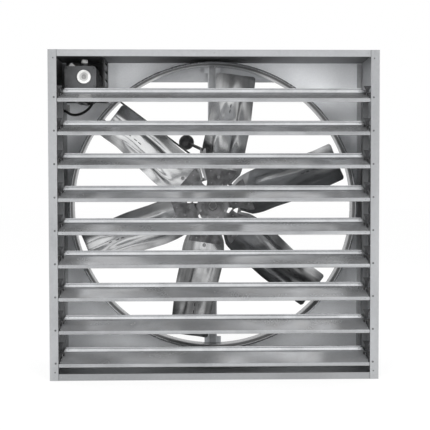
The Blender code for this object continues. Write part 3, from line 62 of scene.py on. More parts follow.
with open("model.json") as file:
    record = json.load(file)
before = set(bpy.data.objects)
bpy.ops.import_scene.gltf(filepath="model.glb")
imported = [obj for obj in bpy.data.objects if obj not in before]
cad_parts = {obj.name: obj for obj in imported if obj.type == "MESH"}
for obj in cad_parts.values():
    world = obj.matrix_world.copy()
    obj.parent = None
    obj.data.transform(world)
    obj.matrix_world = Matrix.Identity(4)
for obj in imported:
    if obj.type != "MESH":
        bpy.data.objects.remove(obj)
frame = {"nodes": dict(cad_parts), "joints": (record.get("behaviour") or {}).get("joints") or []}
JOINTS = {joint["name"]: joint for joint in frame["joints"]}

# Places read from the frame
LOW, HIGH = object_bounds()
FAN_AXIS = Vector(JOINTS["fan_spin"]["pos_m"])
FAN_CENTRE = Vector((FAN_AXIS.x, 0, FAN_AXIS.z))
PIVOTS = [Vector(joint["pos_m"]) for name, joint in JOINTS.items() if name.startswith("shutter_")]
SIDES = {"left": -1, "right": 1}
AXIS_TURNS = {"Y": (math.pi / 2, 0, 0), "Z": (0, 0, 0), "X": (0, math.pi / 2, 0)}
AXIS_LINES = {"X": Vector((1, 0, 0)), "Y": Vector((0, 1, 0)), "Z": Vector((0, 0, 1))}
DOUBLES_GAP = 0.00001

# Casing
OUTLET_FACE = -0.2375
INNER_WALL = 0.1425
END_FLANGE = 0.028
RIVET_TO_END = 0.046
FLANGE_RIVET = 0.0026
CORNER_RIVET = 0.0034
CORNER_RIVET_PLACE = 0.668
CORNER_RIVET_DROP = 0.021
SEAM_PLACE = 0.6545
SEAM_WIDTH = 0.0034
FOLD_GAP = 0.0010
FOLD_WIDTH = 0.022
FOLD_SHEET = 0.0012
FOLD_TOP_ROOM = 0.003
COLLAR_THROAT = 0.632
ARC_STEPS = 5

# Shutters and their links
GROOVE_SHARE, GROOVE_DEPTH = 0.62, 1.6
RAIL_END_LEAN = 32.0
EAR_SHEET = 0.0012
EAR_BOSS = 0.0115
EAR_EYE = 0.0095
CRANK = (0.078, 0.012)
EAR_WEB = ((-0.058, -0.011), (0.078, 0.009))
# Behind the pivot, over it, and how far that corner of the web moves up
EAR_TAPER = ((False, False, -0.008), (False, True, -0.024), (True, True, 0.011), (True, False, 0.014))
RIVET_TO_LIP_END = 0.014
RIVET_TO_RAIL_END = 0.022
BUSHING = ((0.0105, 0.0), (0.0105, 0.006), (0.0085, 0.0075))
PIVOT_CAP_ACROSS = (0.6492, 0.6650)
PIVOT_CAP_DEPTH = (-0.0125, -0.0020)
PIVOT_CAP_RISE = (-0.0115, 0.0060)
PIVOT_CAP_EDGE = 0.0018
CLIP_GAP = 0.0004
CLIP_SHEET = 0.0016
CLIP_MIDDLE = 0.6672
CLIP_HALF = 0.0168
CLIP_RISE = (0.026, 0.0455)
CLIP_TAPER = 0.42
NECK_HALF = 0.0072
NECK_RISE = (0.007, 0.027)
CLIP_RIVET = (0.0042, 0.0022)
CLIP_RIVET_RISE = 0.036

# Fan, whose blades have these shapes from root to tip
STATION_SHARES = (0.0, 0.09, 0.1875, 0.32, 0.55, 0.80, 0.95, 1.0)
WIDTH_SHARES = (0.64, 0.92, 1.0, 1.0, 0.96, 0.87, 0.86, 0.85)
LEAD_SHARES = (0.47, 0.455, 0.463, 0.475, 0.445, 0.44, 0.47, 0.48)
RIB_CHORDS = (-0.24, 0.20)
RIB_RISE, RIB_FALL, RIB_HALF = (0.18, 0.30), (0.72, 0.86), 0.055
FLUTE_RISE, FLUTE_CHORD, FLUTE_HALF, FLUTE_SHARE = (0.60, 0.95), -0.02, 0.12, 1.6
BLADE_GRID = (56, 28)
TIP_CORNER = (0.43, 0.07)
TIP_START, TIP_PULL = 0.9, 0.016
ARM_BOLTS = (0.134, 0.186)
BLADE_BOLT = 0.0072
BLADE_SLOTS = (0.66, 0.71, 0.78)
SLOT_CHORD = -0.06
SLOT_LENGTH = 0.016
SLOT_WIDTH = 0.0034
ROOT_PLATE = (-0.066, 0.125)
ROOT_PLATE_CHORD = 0.80
ROOT_PLATE_GRID = (16, 12)
ROOT_BOLTS = ((-0.02, -0.22), (-0.02, 0.22), (0.09, -0.24), (0.09, 0.24))
ROOT_BOLT = 0.0036
COVER_GAP = 0.0006
COVER_FRONT = 0.0040
COVER_RADII = (0.076, 0.021)
COVER_EDGE = 0.0008
COVER_RINGS = (0.047, 0.028)
# Out from the ring's middle line, and back from the cover's face
RING_SECTION = ((0.0022, 0.0004), (0.0012, -0.0016), (-0.0012, -0.0016), (-0.0022, 0.0004))
HUB_BOLTS = 8
HUB_BOLT_CIRCLE = 0.0610
HUB_BOLT = (0.0042, 0.0034)

# Hammer, motor and cable
ROD_RADIUS = 0.0068
ROD_FOOT = (0.004, 0.006)
CABLE_RADIUS = 0.0058
CABLE_UNDER_GLAND, CABLE_TO_WALL, CABLE_OVER_GROMMET = 0.0004, 0.0008, 0.012
CABLE_HANG = (
    (-0.530, -0.0745, 1.196),
    (-0.5200, -0.048, 1.178),
    (-0.560, -0.020, 1.140),
    (-0.607, 0.010, 1.1265),
    (-0.648, 0.080, 1.139),
    (-0.668, 0.1265, 1.1575),
)
# Sections as shares of the radius and of the depth or height
RIVET_SECTION = ((1.0, 0.0), (1.0, 0.35), (0.80, 0.80), (0.45, 1.0))
WASHER_SECTION = ((1.25, 0.0), (1.25, 0.22))
HEX_SECTION = ((1.0, 0.22), (1.0, 0.85), (0.86, 1.0))
CAP_SECTION = (
    (1.0, 0.0), (1.0, 0.80), (0.95, 1.0), (0.70, 1.0), (0.62, 0.72), (0.44, 0.66),
    (0.36, 0.50), (0.25, 0.50), (0.21, 0.80), (0.10, 0.84), (0.06, 0.70), (0.02, 0.70),
)
GLAND_SECTION = (
    (1.0, 0.0), (1.0, 0.40), (0.90, 0.42), (0.90, 0.48), (1.12, 0.50), (1.12, 0.84), (1.0, 0.92), (0.74, 1.0),
)
LID_SCREW = (0.0030, 0.0010)
LID_SCREW_INSET = 0.009
LUG_ACROSS = (-0.6293, -0.5966)
LUG_DEPTH = (-0.0768, -0.0750)
LUG_RISE = (0.0006, 0.0170)
LUG_POINT = 0.16

# Camera, measured from the photograph
PHOTO_SIDE = 430
PHOTO_FOCAL = 857.16
SENSOR = 36.0
CAMERA_PLACE = (-0.0848, -3.8124, 0.8029)
CAMERA_YAW = 0.0241
CAMERA_PITCH = -0.03076
CAMERA_ROLL = -0.00151

# Studio
FLOOR_RADIUS = 30.0
FLOOR_GAP = 0.0005
FLOOR_WHITE = 0.78
FLOOR_COLOUR = (0.97, 0.97, 0.97, 1.0)
WHITE = (1.0, 1.0, 1.0, 1.0)
WORLD_LEVEL = 1.0
LAMPS = (
    ("key_lamp", (-2.2, -4.6, 1.7), 2.2, 135.0),
    ("fill_lamp", (2.4, -4.4, 1.5), 2.4, 145.0),
    ("back_lamp", (0.5, 3.8, 3.2), 3.0, 12.0),
)


# Selecting and finishing


def clear_selection():
    """Object mode with nothing selected."""
    if bpy.context.object and bpy.context.object.mode != "OBJECT":
        bpy.ops.object.mode_set(mode="OBJECT")
    bpy.ops.object.select_all(action="DESELECT")


def pick(*pieces):
    """Selects these objects only; the last one is active."""
    clear_selection()
    for piece in pieces:
        piece.select_set(True)
    bpy.context.view_layer.objects.active = pieces[-1]


def edit(piece, action="DESELECT"):
    """Opens a piece in edit mode with nothing, or all of it, selected."""
    pick(piece)
    bpy.ops.object.mode_set(mode="EDIT")
    bpy.ops.mesh.select_all(action=action)


def leave():
    """Back to object mode."""
    bpy.ops.object.mode_set(mode="OBJECT")


def choose(piece, kind, test):
    """In edit mode, selects the edges or verts whose middle passes the test."""
    bpy.ops.mesh.select_mode(type=kind)
    bpy.ops.mesh.select_all(action="DESELECT")
    shape = bmesh.from_edit_mesh(piece.data)
    for item in shape.verts if kind == "VERT" else shape.edges:
        ends = [item] if kind == "VERT" else item.verts
        if test(sum((end.co for end in ends), Vector()) / len(ends)):
            item.select_set(True)
    bmesh.update_edit_mesh(piece.data)


def apply_modifiers(piece):
    """Puts a piece's modifiers into its mesh."""
    pick(piece)
    for modifier in list(piece.modifiers):
        bpy.ops.object.modifier_apply(modifier=modifier.name)


def settle(piece):
    """Puts a piece's place, turn and scale into its mesh."""
    pick(piece)
    bpy.ops.object.transform_apply(location=True, rotation=True, scale=True)


def tidy_mesh(piece):
    """Merges doubles and turns the faces outwards."""
    edit(piece, "SELECT")
    bpy.ops.mesh.remove_doubles(threshold=DOUBLES_GAP)
    bpy.ops.mesh.normals_make_consistent(inside=False)
    leave()


def solidify(piece, thickness):
    """Thickens a sheet evenly to both sides."""
    step = piece.modifiers.new("wall", "SOLIDIFY")
    step.thickness = thickness
    step.offset = 0.0
    apply_modifiers(piece)


def bevel(piece, width, segments=2, angle=30.0):
    """Rounds the edges that turn by more than an angle."""
    step = piece.modifiers.new("round", "BEVEL")
    step.width = width
    step.segments = segments
    step.limit_method = "ANGLE"
    step.angle_limit = math.radians(angle)
    apply_modifiers(piece)


def join(pieces):
    """Joins pieces into the last one."""
    if len(pieces) > 1:
        pick(*pieces)
        bpy.ops.object.join()
    return pieces[-1]


def copied(piece, name):
    """A copy with its own mesh."""
    made = piece.copy()
    made.data = piece.data.copy()
    made.name = name
    bpy.context.scene.collection.objects.link(made)
    return made


def finish_piece(piece, name, body, finish, replaces=(), smooth=35.0):
    """Names a piece, shades it, gives it its material, and hangs it on its body."""
    settle(piece)
    piece.name = name
    piece.data.name = name
    bpy.ops.object.shade_smooth_by_angle(angle=math.radians(smooth))
    piece.data.materials.clear()
    piece.data.materials.append(surface(finish))
    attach(piece, body)
    if replaces:
        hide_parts(*replaces)
    clear_selection()


def add_surface(piece, finish, test):
    """Gives the faces that pass the test another material."""
    piece.data.materials.append(surface(finish))
    place = len(piece.data.materials) - 1
    for face in piece.data.polygons:
        if test(face):
            face.material_index = place


def dress(finish, *nodes):
    """Gives CAD nodes that stay a better material."""
    for node in nodes:
        for place in frame["nodes"][node].material_slots:
            place.material = surface(finish)


# Shapes made by hand


def placed(add_shape, **settings):
    """A new shape, the only one selected."""
    clear_selection()
    add_shape(**settings)
    return bpy.context.object


def stood(place, along):
    """The move that stands a shape on a place with its Z along a line."""
    return Matrix.Translation(place) @ along.to_track_quat("Z", "Y").to_matrix().to_4x4()


def turned(steps, centre, axis="Y", sides=48, closed=False):
    """A loop extruded and scaled from step to step: (radius, place along the axis)."""
    line = AXIS_LINES[axis]
    base = Vector(centre) - line * Vector(centre).dot(line)
    radius, place = steps[0]
    start = {"location": base + line * place, "rotation": AXIS_TURNS[axis]}
    piece = placed(bpy.ops.mesh.primitive_circle_add, vertices=sides, radius=radius, **start)
    bpy.ops.object.mode_set(mode="EDIT")
    bpy.ops.mesh.select_mode(type="EDGE")
    bpy.ops.mesh.select_all(action="SELECT")
    for after_radius, after_place in steps[1:] + (steps[:1] if closed else []):
        travel = line * (after_place - place)
        bpy.ops.mesh.extrude_region_move(TRANSFORM_OT_translate={"value": travel})
        share = after_radius / radius
        if share != 1:
            middle = base + line * after_place
            bpy.ops.transform.resize(value=(share, share, share), center_override=middle)
        radius, place = after_radius, after_place
    bpy.ops.mesh.select_all(action="SELECT")
    bpy.ops.mesh.remove_doubles(threshold=DOUBLES_GAP)
    if not closed:
        bpy.ops.mesh.fill_holes(sides=0)
        bpy.ops.mesh.select_all(action="SELECT")
    bpy.ops.mesh.normals_make_consistent(inside=False)
    leave()
    settle(piece)
    return piece


def folded_strip(line, low, high):
    """A sheet along X whose cross section follows a line of (y, z) points."""
    (start_y, start_z), (next_y, next_z) = line[:2]
    piece = placed(bpy.ops.mesh.primitive_plane_add, size=1)
    for vertex in piece.data.vertices:
        y, z = (start_y, start_z) if vertex.co.y < 0 else (next_y, next_z)
        vertex.co = (low if vertex.co.x < 0 else high, y, z)
    edit(piece)
    end = Vector(((low + high) / 2, next_y, next_z))
    choose(piece, "EDGE", lambda middle: (middle - end).length < 1e-6)
    y, z = next_y, next_z
    for after_y, after_z in line[2:]:
        travel = (0, after_y - y, after_z - z)
        bpy.ops.mesh.extrude_region_move(TRANSFORM_OT_translate={"value": travel})
        y, z = after_y, after_z
    leave()
    return piece


def arc(radius, start, end):
    """Points of a round corner about its middle, from angle to angle in degrees."""
    turns = [math.radians(start + (end - start) * step / ARC_STEPS) for step in range(ARC_STEPS + 1)]
    return [(radius * math.cos(turn), radius * math.sin(turn)) for turn in turns]


def block(low, high, round_edge=0.0):
    """A block between two corners with rounded edges."""
    low, high = Vector(low), Vector(high)
    piece = placed(bpy.ops.mesh.primitive_cube_add, size=1, location=(low + high) / 2, scale=high - low)
    settle(piece)
    if round_edge:
        bevel(piece, round_edge)
    return piece


def rivet_head(radius, height, place, sides=20):
    """A domed head standing on a face, towards the outlet."""
    steps = [(radius * across, Vector(place).y - height * up) for across, up in RIVET_SECTION]
    return turned(steps, place, "Y", sides)


def hex_head(radius, height, place, axis="Y", toward=-1):
    """A hexagon head on its washer, its crown chamfered."""
    along = Vector(place).dot(AXIS_LINES[axis])
    return join([
        turned([(radius * across, along + toward * height * up) for across, up in section], place, axis, sides)
        for section, sides in ((WASHER_SECTION, 24), (HEX_SECTION, 6))
    ])


# Nodes


def add(tree, kind, **settings):
    """A node with its settings."""
    node = tree.nodes.new(kind)
    for key, value in settings.items():
        setattr(node, key, value)
    return node


def feed(tree, socket, value):
    """Links an output to an input, or sets the input to a number or a vector."""
    if isinstance(value, bpy.types.NodeSocket):
        tree.links.new(value, socket)
    else:
        socket.default_value = value


def maths(tree, operation, *values, kind="ShaderNodeMath", output=0):
    """A Math node on links or numbers; its output."""
    node = add(tree, kind, operation=operation)
    for socket, value in zip(node.inputs, values):
        feed(tree, socket, value)
    return node.outputs[output]


vector_maths = partial(maths, kind="ShaderNodeVectorMath")


def weighted(tree, *parts):
    """The sum of links, each times its weight; its output."""
    total = maths(tree, "MULTIPLY", *parts[0])
    for part in parts[1:]:
        total = maths(tree, "ADD", total, maths(tree, "MULTIPLY", *part))
    return total


def ranged(tree, value, low, high, to_low, to_high):
    """A smooth Map Range node; its output."""
    node = add(tree, "ShaderNodeMapRange", interpolation_type="SMOOTHSTEP")
    feed(tree, node.inputs["Value"], value)
    for key, number in (("From Min", low), ("From Max", high), ("To Min", to_low), ("To Max", to_high)):
        feed(tree, node.inputs[key], number)
    return node.outputs["Result"]


def object_place(tree):
    """The object's own coordinates."""
    return add(tree, "ShaderNodeTexCoord").outputs["Object"]


def place_along(tree, axis):
    """The object's own X, Y or Z."""
    split = add(tree, "ShaderNodeSeparateXYZ")
    feed(tree, split.inputs[0], object_place(tree))
    return split.outputs[axis]


def noise(tree, place, scale, detail, distortion=0.0, output="Fac"):
    """A Noise Texture; its output."""
    node = add(tree, "ShaderNodeTexNoise")
    for key, value in (("Vector", place), ("Scale", scale), ("Detail", detail), ("Distortion", distortion)):
        feed(tree, node.inputs[key], value)
    return node.outputs[output]


def blend(tree, factor, below, above):
    """One colour or link laid over another where the factor says; its output."""
    node = add(tree, "ShaderNodeMix", data_type="RGBA")
    for key, value in (("A", below), ("B", above)):
        feed(tree, node.inputs[key], (*value, 1.0) if isinstance(value, tuple) else value)
    feed(tree, node.inputs["Factor"], factor)
    return node.outputs["Result"]


# Node groups for effects that several materials share


def new_group(name, inputs, outputs):
    """An empty node group: an input is a number or a vector, and every output is a number."""
    group = bpy.data.node_groups.new(name, "ShaderNodeTree")
    for label, default in inputs.items():
        kind = "NodeSocketVector" if isinstance(default, tuple) else "NodeSocketFloat"
        group.interface.new_socket(name=label, in_out="INPUT", socket_type=kind).default_value = default
    for label in outputs:
        group.interface.new_socket(name=label, in_out="OUTPUT", socket_type="NodeSocketFloat")
    return group, group.nodes.new("NodeGroupInput").outputs, group.nodes.new("NodeGroupOutput").inputs


def zinc_spangle_group():
    """Zinc crystals: patches of slightly different grey, with fine speckle, and their height."""
    group, source, sink = new_group(
        "zinc_spangle", {"Crystal Scale": 90.0, "Speckle Scale": 900.0}, ("Tone", "Height")
    )
    place = object_place(group)
    wander = noise(group, place, 60.0, 2.0, output="Color")
    cells = add(group, "ShaderNodeTexVoronoi", feature="F1")
    bend = vector_maths(group, "MULTIPLY_ADD", wander, (0.006, 0.006, 0.006), place)
    feed(group, cells.inputs["Vector"], bend)
    feed(group, cells.inputs["Scale"], source["Crystal Scale"])
    grey = add(group, "ShaderNodeRGBToBW")
    feed(group, grey.inputs[0], cells.outputs["Color"])
    speckle = noise(group, place, source["Speckle Scale"], 3.0)
    tone = weighted(group, (grey.outputs[0], 0.6), (speckle, 0.4))
    for label in ("Tone", "Height"):
        feed(group, sink[label], tone)
    return group


def rolled_streak_group():
    """Long soft streaks along one direction of the sheet, and broad cloudy patches."""
    group, source, sink = new_group(
        "rolled_streaks", {"Across": (4.0, 60.0, 60.0), "Cloud Scale": 3.0, "Sharpness": 0.18}, ("Streak", "Cloud")
    )
    place = object_place(group)
    streak = noise(group, vector_maths(group, "MULTIPLY", place, source["Across"]), 1.0, 4.0, 0.6)
    low = maths(group, "SUBTRACT", 0.5, source["Sharpness"])
    high = maths(group, "ADD", 0.5, source["Sharpness"])
    feed(group, sink["Streak"], ranged(group, streak, low, high, 0.0, 1.0))
    cloud = noise(group, place, source["Cloud Scale"], 2.0, 0.8)
    feed(group, sink["Cloud"], ranged(group, cloud, 0.30, 0.70, 0.0, 1.0))
    return group


def edge_wear_group():
    """A broken line of bare metal along sharp edges."""
    group, source, sink = new_group("edge_wear", {"Width": 0.002, "Breaks": 120.0}, ("Wear",))
    rounded = add(group, "ShaderNodeBevel", samples=4)
    feed(group, rounded.inputs["Radius"], source["Width"])
    normal = add(group, "ShaderNodeNewGeometry").outputs["Normal"]
    facing = vector_maths(group, "DOT_PRODUCT", rounded.outputs[0], normal, output="Value")
    edge = ranged(group, facing, 0.80, 0.99, 1.0, 0.0)
    breaks = noise(group, object_place(group), source["Breaks"], 3.0)
    kept = ranged(group, breaks, 0.42, 0.60, 0.0, 1.0)
    feed(group, sink["Wear"], maths(group, "MULTIPLY", edge, kept))
    return group


def dust_group():
    """Dust that lies on faces turned up, in patches."""
    group, source, sink = new_group("settled_dust", {"Patch Scale": 25.0}, ("Dust",))
    split = add(group, "ShaderNodeSeparateXYZ")
    feed(group, split.inputs[0], add(group, "ShaderNodeNewGeometry").outputs["Normal"])
    up = ranged(group, split.outputs["Z"], 0.2, 0.95, 0.0, 1.0)
    patches = noise(group, object_place(group), source["Patch Scale"], 4.0)
    thick = ranged(group, patches, 0.35, 0.75, 0.0, 1.0)
    feed(group, sink["Dust"], maths(group, "MULTIPLY", up, thick))
    return group


GROUP_MAKERS = {
    "zinc_spangle": zinc_spangle_group,
    "rolled_streaks": rolled_streak_group,
    "edge_wear": edge_wear_group,
    "settled_dust": dust_group,
}


def effect(tree, name, **values):
    """Places a shared effect in a material with its own values; its outputs."""
    node = add(tree, "ShaderNodeGroup")
    node.node_tree = bpy.data.node_groups.get(name) or GROUP_MAKERS[name]()
    for key, value in values.items():
        node.inputs[key.replace("_", " ")].default_value = value
    return node.outputs


# Materials


def new_surface(name, metallic=0.0):
    """A node material, its tree and its Principled shader's inputs."""
    made = bpy.data.materials.new(name)
    made.use_nodes = True
    inputs = made.node_tree.nodes["Principled BSDF"].inputs
    inputs["Metallic"].default_value = metallic
    return made, made.node_tree, inputs


def bump(tree, inputs, height, strength, distance):
    """Raises the surface by a height's link."""
    node = add(tree, "ShaderNodeBump")
    for key, value in (("Strength", strength), ("Distance", distance), ("Height", height)):
        feed(tree, node.inputs[key], value)
    feed(tree, inputs["Normal"], node.outputs["Normal"])


def shaded(colour, share):
    """A colour times a number."""
    return tuple(channel * share for channel in colour)


def galvanised(
    name, colour, across, dark=0.72, crystal=110.0, rough=(0.30, 0.46), cloud=3.0, sharp=0.18, skin=0.06, edge=0.85,
    metallic=1.0
):
    """Hot-dip galvanised sheet: crystals, rolling streaks, cloudy patches and a dull skin."""
    made, tree, inputs = new_surface(name, metallic)
    inputs["Specular Tint"].default_value = (edge, edge, edge, 1.0)
    spangle = effect(tree, "zinc_spangle", Crystal_Scale=crystal, Speckle_Scale=crystal * 9)
    streaks = effect(tree, "rolled_streaks", Across=across, Cloud_Scale=cloud, Sharpness=sharp)
    mixed = weighted(tree, (streaks["Streak"], 0.30), (streaks["Cloud"], 0.45), (spangle["Tone"], 0.45))
    base = blend(tree, mixed, shaded(colour, dark), shaded(colour, 1.08))
    dust = effect(tree, "settled_dust", Patch_Scale=14.0)
    base = blend(tree, maths(tree, "MULTIPLY", dust["Dust"], 0.25), base, (0.42, 0.41, 0.39))
    feed(tree, inputs["Base Color"], base)
    low, high = rough
    feed(tree, inputs["Roughness"], ranged(tree, mixed, 0.0, 1.0, high, low))
    bump(tree, inputs, spangle["Height"], skin, 0.0004)
    return made


def lay_painted_shade(made, shade_mask, colour):
    """Lays painted shade, a dull dark tone, over a finish as far as the given amount says."""
    tree = made.node_tree
    inputs = tree.nodes["Principled BSDF"].inputs
    tint, rough, metal = inputs["Base Color"], inputs["Roughness"], inputs["Metallic"]
    feed(tree, tint, blend(tree, shade_mask, tint.links[0].from_socket, colour))
    dull = maths(tree, "MULTIPLY", shade_mask, 0.75)
    feed(tree, rough, maths(tree, "MAXIMUM", rough.links[0].from_socket, dull))
    feed(tree, metal, maths(tree, "SUBTRACT", metal.default_value, shade_mask))
    return made


def casing_metal(name, colour, across, shade=0.0, rivet_shade_heights=()):
    """Casing sheet: bright on its flanges; inside the box, painted shade and less metal; and dark dots of painted
    shade at the corner rivets' recesses, at these heights.
    """
    made = galvanised(name, colour, across, dark=0.86)
    tree = made.node_tree
    depth = place_along(tree, "Y")
    # Painted shade inside the box, from behind the flanges to the inner wall
    inside = ranged(tree, depth, LOW.y + 0.004, LOW.y + 0.018, 0.0, 1.0)
    before_wall = ranged(tree, depth, INNER_WALL - 0.01, INNER_WALL + 0.02, 1.0, 0.0)
    shade_mask = maths(tree, "MULTIPLY", maths(tree, "MULTIPLY", inside, before_wall), shade)
    # Dark dots at the corner rivets: painted shade of their recesses
    for middle in rivet_shade_heights:
        aside = maths(tree, "SUBTRACT", maths(tree, "ABSOLUTE", place_along(tree, "X")), CORNER_RIVET_PLACE)
        above = maths(tree, "SUBTRACT", place_along(tree, "Z"), middle)
        apart = maths(tree, "ADD", maths(tree, "POWER", aside, 2.0), maths(tree, "POWER", above, 2.0))
        head = ranged(tree, maths(tree, "SQRT", apart), CORNER_RIVET * 0.7, CORNER_RIVET, 0.8, 0.0)
        shade_mask = maths(tree, "MAXIMUM", shade_mask, head)
    # The painted shade's dull dark colour
    lay_painted_shade(made, shade_mask, (0.055, 0.056, 0.058))
    metal = tree.nodes["Principled BSDF"].inputs["Metallic"]
    feed(tree, metal, ranged(tree, inside, 0.0, 1.0, 0.92, 0.45))
    return made


def mirror_stainless(name, colour):
    """Bright rolled stainless: painted reflections of the room as dark and light streaks along the blade, painted
    light towards the upper left, and scuffs.
    """
    made, tree, inputs = new_surface(name, 1.0)
    unwrapped = add(tree, "ShaderNodeTexCoord").outputs["UV"]
    place = object_place(tree)

    def reflected_bands(along, across, distortion, detail, low, high):
        stretch = vector_maths(tree, "MULTIPLY", unwrapped, (along, across, 1.0))
        band = noise(tree, vector_maths(tree, "ADD", stretch, place), 1.0, detail, distortion)
        return ranged(tree, band, low, high, 0.0, 1.0)

    # Painted reflections of the room: broad and fine streaks along the blade
    broad = reflected_bands(1.3, 2.6, 0.5, 1.0, 0.40, 0.62)
    fine = reflected_bands(1.0, 9.0, 0.3, 2.0, 0.36, 0.66)
    scuffs = effect(tree, "zinc_spangle", Crystal_Scale=40.0, Speckle_Scale=500.0)
    # Painted light: brighter towards the upper left, where the blades stand at rest
    across = maths(tree, "MULTIPLY", place_along(tree, "X"), 0.4)
    leaning = maths(tree, "SUBTRACT", place_along(tree, "Z"), across)
    lit = ranged(tree, leaning, 0.30, 1.15, -0.06, 0.42)
    mixed = weighted(tree, (broad, 0.50), (lit, 1.0), (fine, 0.16), (scuffs["Tone"], 0.14))
    feed(tree, inputs["Base Color"], blend(tree, mixed, shaded(colour, 0.20), shaded(colour, 1.16)))
    feed(tree, inputs["Roughness"], ranged(tree, mixed, 0.0, 1.0, 0.26, 0.15))
    inputs["Specular Tint"].default_value = (0.7, 0.7, 0.7, 1.0)
    bump(tree, inputs, broad, 0.10, 0.0015)
    return made


def bar_metal(name, colour):
    """The support bar's sheet, darker between its two folded edges: painted shade there, which leaves the folds
    light.
    """
    made = galvanised(name, colour, (60.0, 60.0, 1.5), dark=0.6, edge=0.6, metallic=0.6)
    tree = made.node_tree
    across = maths(tree, "ABSOLUTE", place_along(tree, "X"))
    # Painted shade between the folded edges, in a dark colour
    return lay_painted_shade(made, ranged(tree, across, 0.0135, 0.0165, 0.62, 0.0), (0.09, 0.092, 0.095))


def collar_metal(name, colour):
    """Collar sheet with a dark band of painted shade that runs round it behind its bead."""
    made = galvanised(name, colour, (3.0, 12.0, 3.0), dark=0.80, rough=(0.20, 0.30), skin=0.0, edge=0.6)
    tree = made.node_tree
    depth = place_along(tree, "Y")
    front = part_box("venturi_ring")[0].y
    # Painted shade behind the bead, fading before the flare
    behind_bead = ranged(tree, depth, front + 0.007, front + 0.012, 0.0, 0.92)
    before_flare = ranged(tree, depth, front + 0.060, front + 0.105, 1.0, 0.25)
    return lay_painted_shade(made, maths(tree, "MULTIPLY", behind_bead, before_flare), (0.030, 0.031, 0.033))


def bright_steel(name, colour, scale=400.0, rough=0.32, metallic=1.0):
    """Zinc-plated steel of small fixings, slightly blotched."""
    made, tree, inputs = new_surface(name, metallic)
    spangle = effect(tree, "zinc_spangle", Crystal_Scale=scale, Speckle_Scale=scale * 5)
    base = blend(tree, spangle["Tone"], shaded(colour, 0.55), colour)
    wear = effect(tree, "edge_wear", Width=0.0008, Breaks=500.0)
    feed(tree, inputs["Base Color"], blend(tree, wear["Wear"], base, (0.75, 0.75, 0.74)))
    feed(tree, inputs["Roughness"], ranged(tree, spangle["Tone"], 0.2, 0.8, rough + 0.12, rough - 0.06))
    bump(tree, inputs, spangle["Height"], 0.15, 0.0003)
    return made


def grey_casting(name, colour, rough=0.50):
    """Cast and blasted metal: pitted, mottled, lighter on its edges."""
    made, tree, inputs = new_surface(name, 0.7)
    place = object_place(tree)
    pits = noise(tree, place, 320.0, 5.0)
    tone = weighted(tree, (noise(tree, place, 28.0, 4.0), 0.7), (pits, 0.3))
    base = blend(tree, ranged(tree, tone, 0.35, 0.65, 0.0, 1.0), shaded(colour, 0.55), shaded(colour, 1.25))
    wear = effect(tree, "edge_wear", Width=0.0015, Breaks=160.0)
    feed(tree, inputs["Base Color"], blend(tree, wear["Wear"], base, shaded(colour, 2.2)))
    feed(tree, inputs["Roughness"], ranged(tree, tone, 0.3, 0.7, rough + 0.1, rough - 0.1))
    bump(tree, inputs, pits, 0.35, 0.0006)
    return made


def painted(name, colour, rough=0.38, grain=700.0, worn=(0.30, 0.30, 0.30), dusty=0.35):
    """Paint or moulded plastic: a fine orange-peel skin, dust on top and rubbed edges."""
    made, tree, inputs = new_surface(name)
    place = object_place(tree)
    peel, patches = noise(tree, place, grain, 2.0), noise(tree, place, 22.0, 4.0)
    base = blend(tree, ranged(tree, patches, 0.35, 0.65, 0.0, 1.0), shaded(colour, 0.78), shaded(colour, 1.18))
    wear = effect(tree, "edge_wear", Width=0.0010, Breaks=220.0)
    base = blend(tree, maths(tree, "MULTIPLY", wear["Wear"], 0.55), base, worn)
    dust = effect(tree, "settled_dust", Patch_Scale=60.0)
    base = blend(tree, maths(tree, "MULTIPLY", dust["Dust"], dusty), base, (0.30, 0.29, 0.27))
    feed(tree, inputs["Base Color"], base)
    feed(tree, inputs["Roughness"], ranged(tree, patches, 0.3, 0.7, rough - 0.07, rough + 0.10))
    bump(tree, inputs, peel, 0.20, 0.0003)
    return made


UPRIGHT, LENGTHWISE, ALONG_FOLD = (60.0, 60.0, 1.5), (1.2, 20.0, 20.0), (1.6, 70.0, 90.0)
CORNER_RIVETS = (HIGH.z - END_FLANGE / 2 - CORNER_RIVET_DROP, END_FLANGE / 2 + CORNER_RIVET_DROP)
FACE_SHEET = {
    "across": ALONG_FOLD, "dark": 0.66, "crystal": 260.0, "cloud": 6.0, "sharp": 0.14, "skin": 0.0, "edge": 0.9,
}

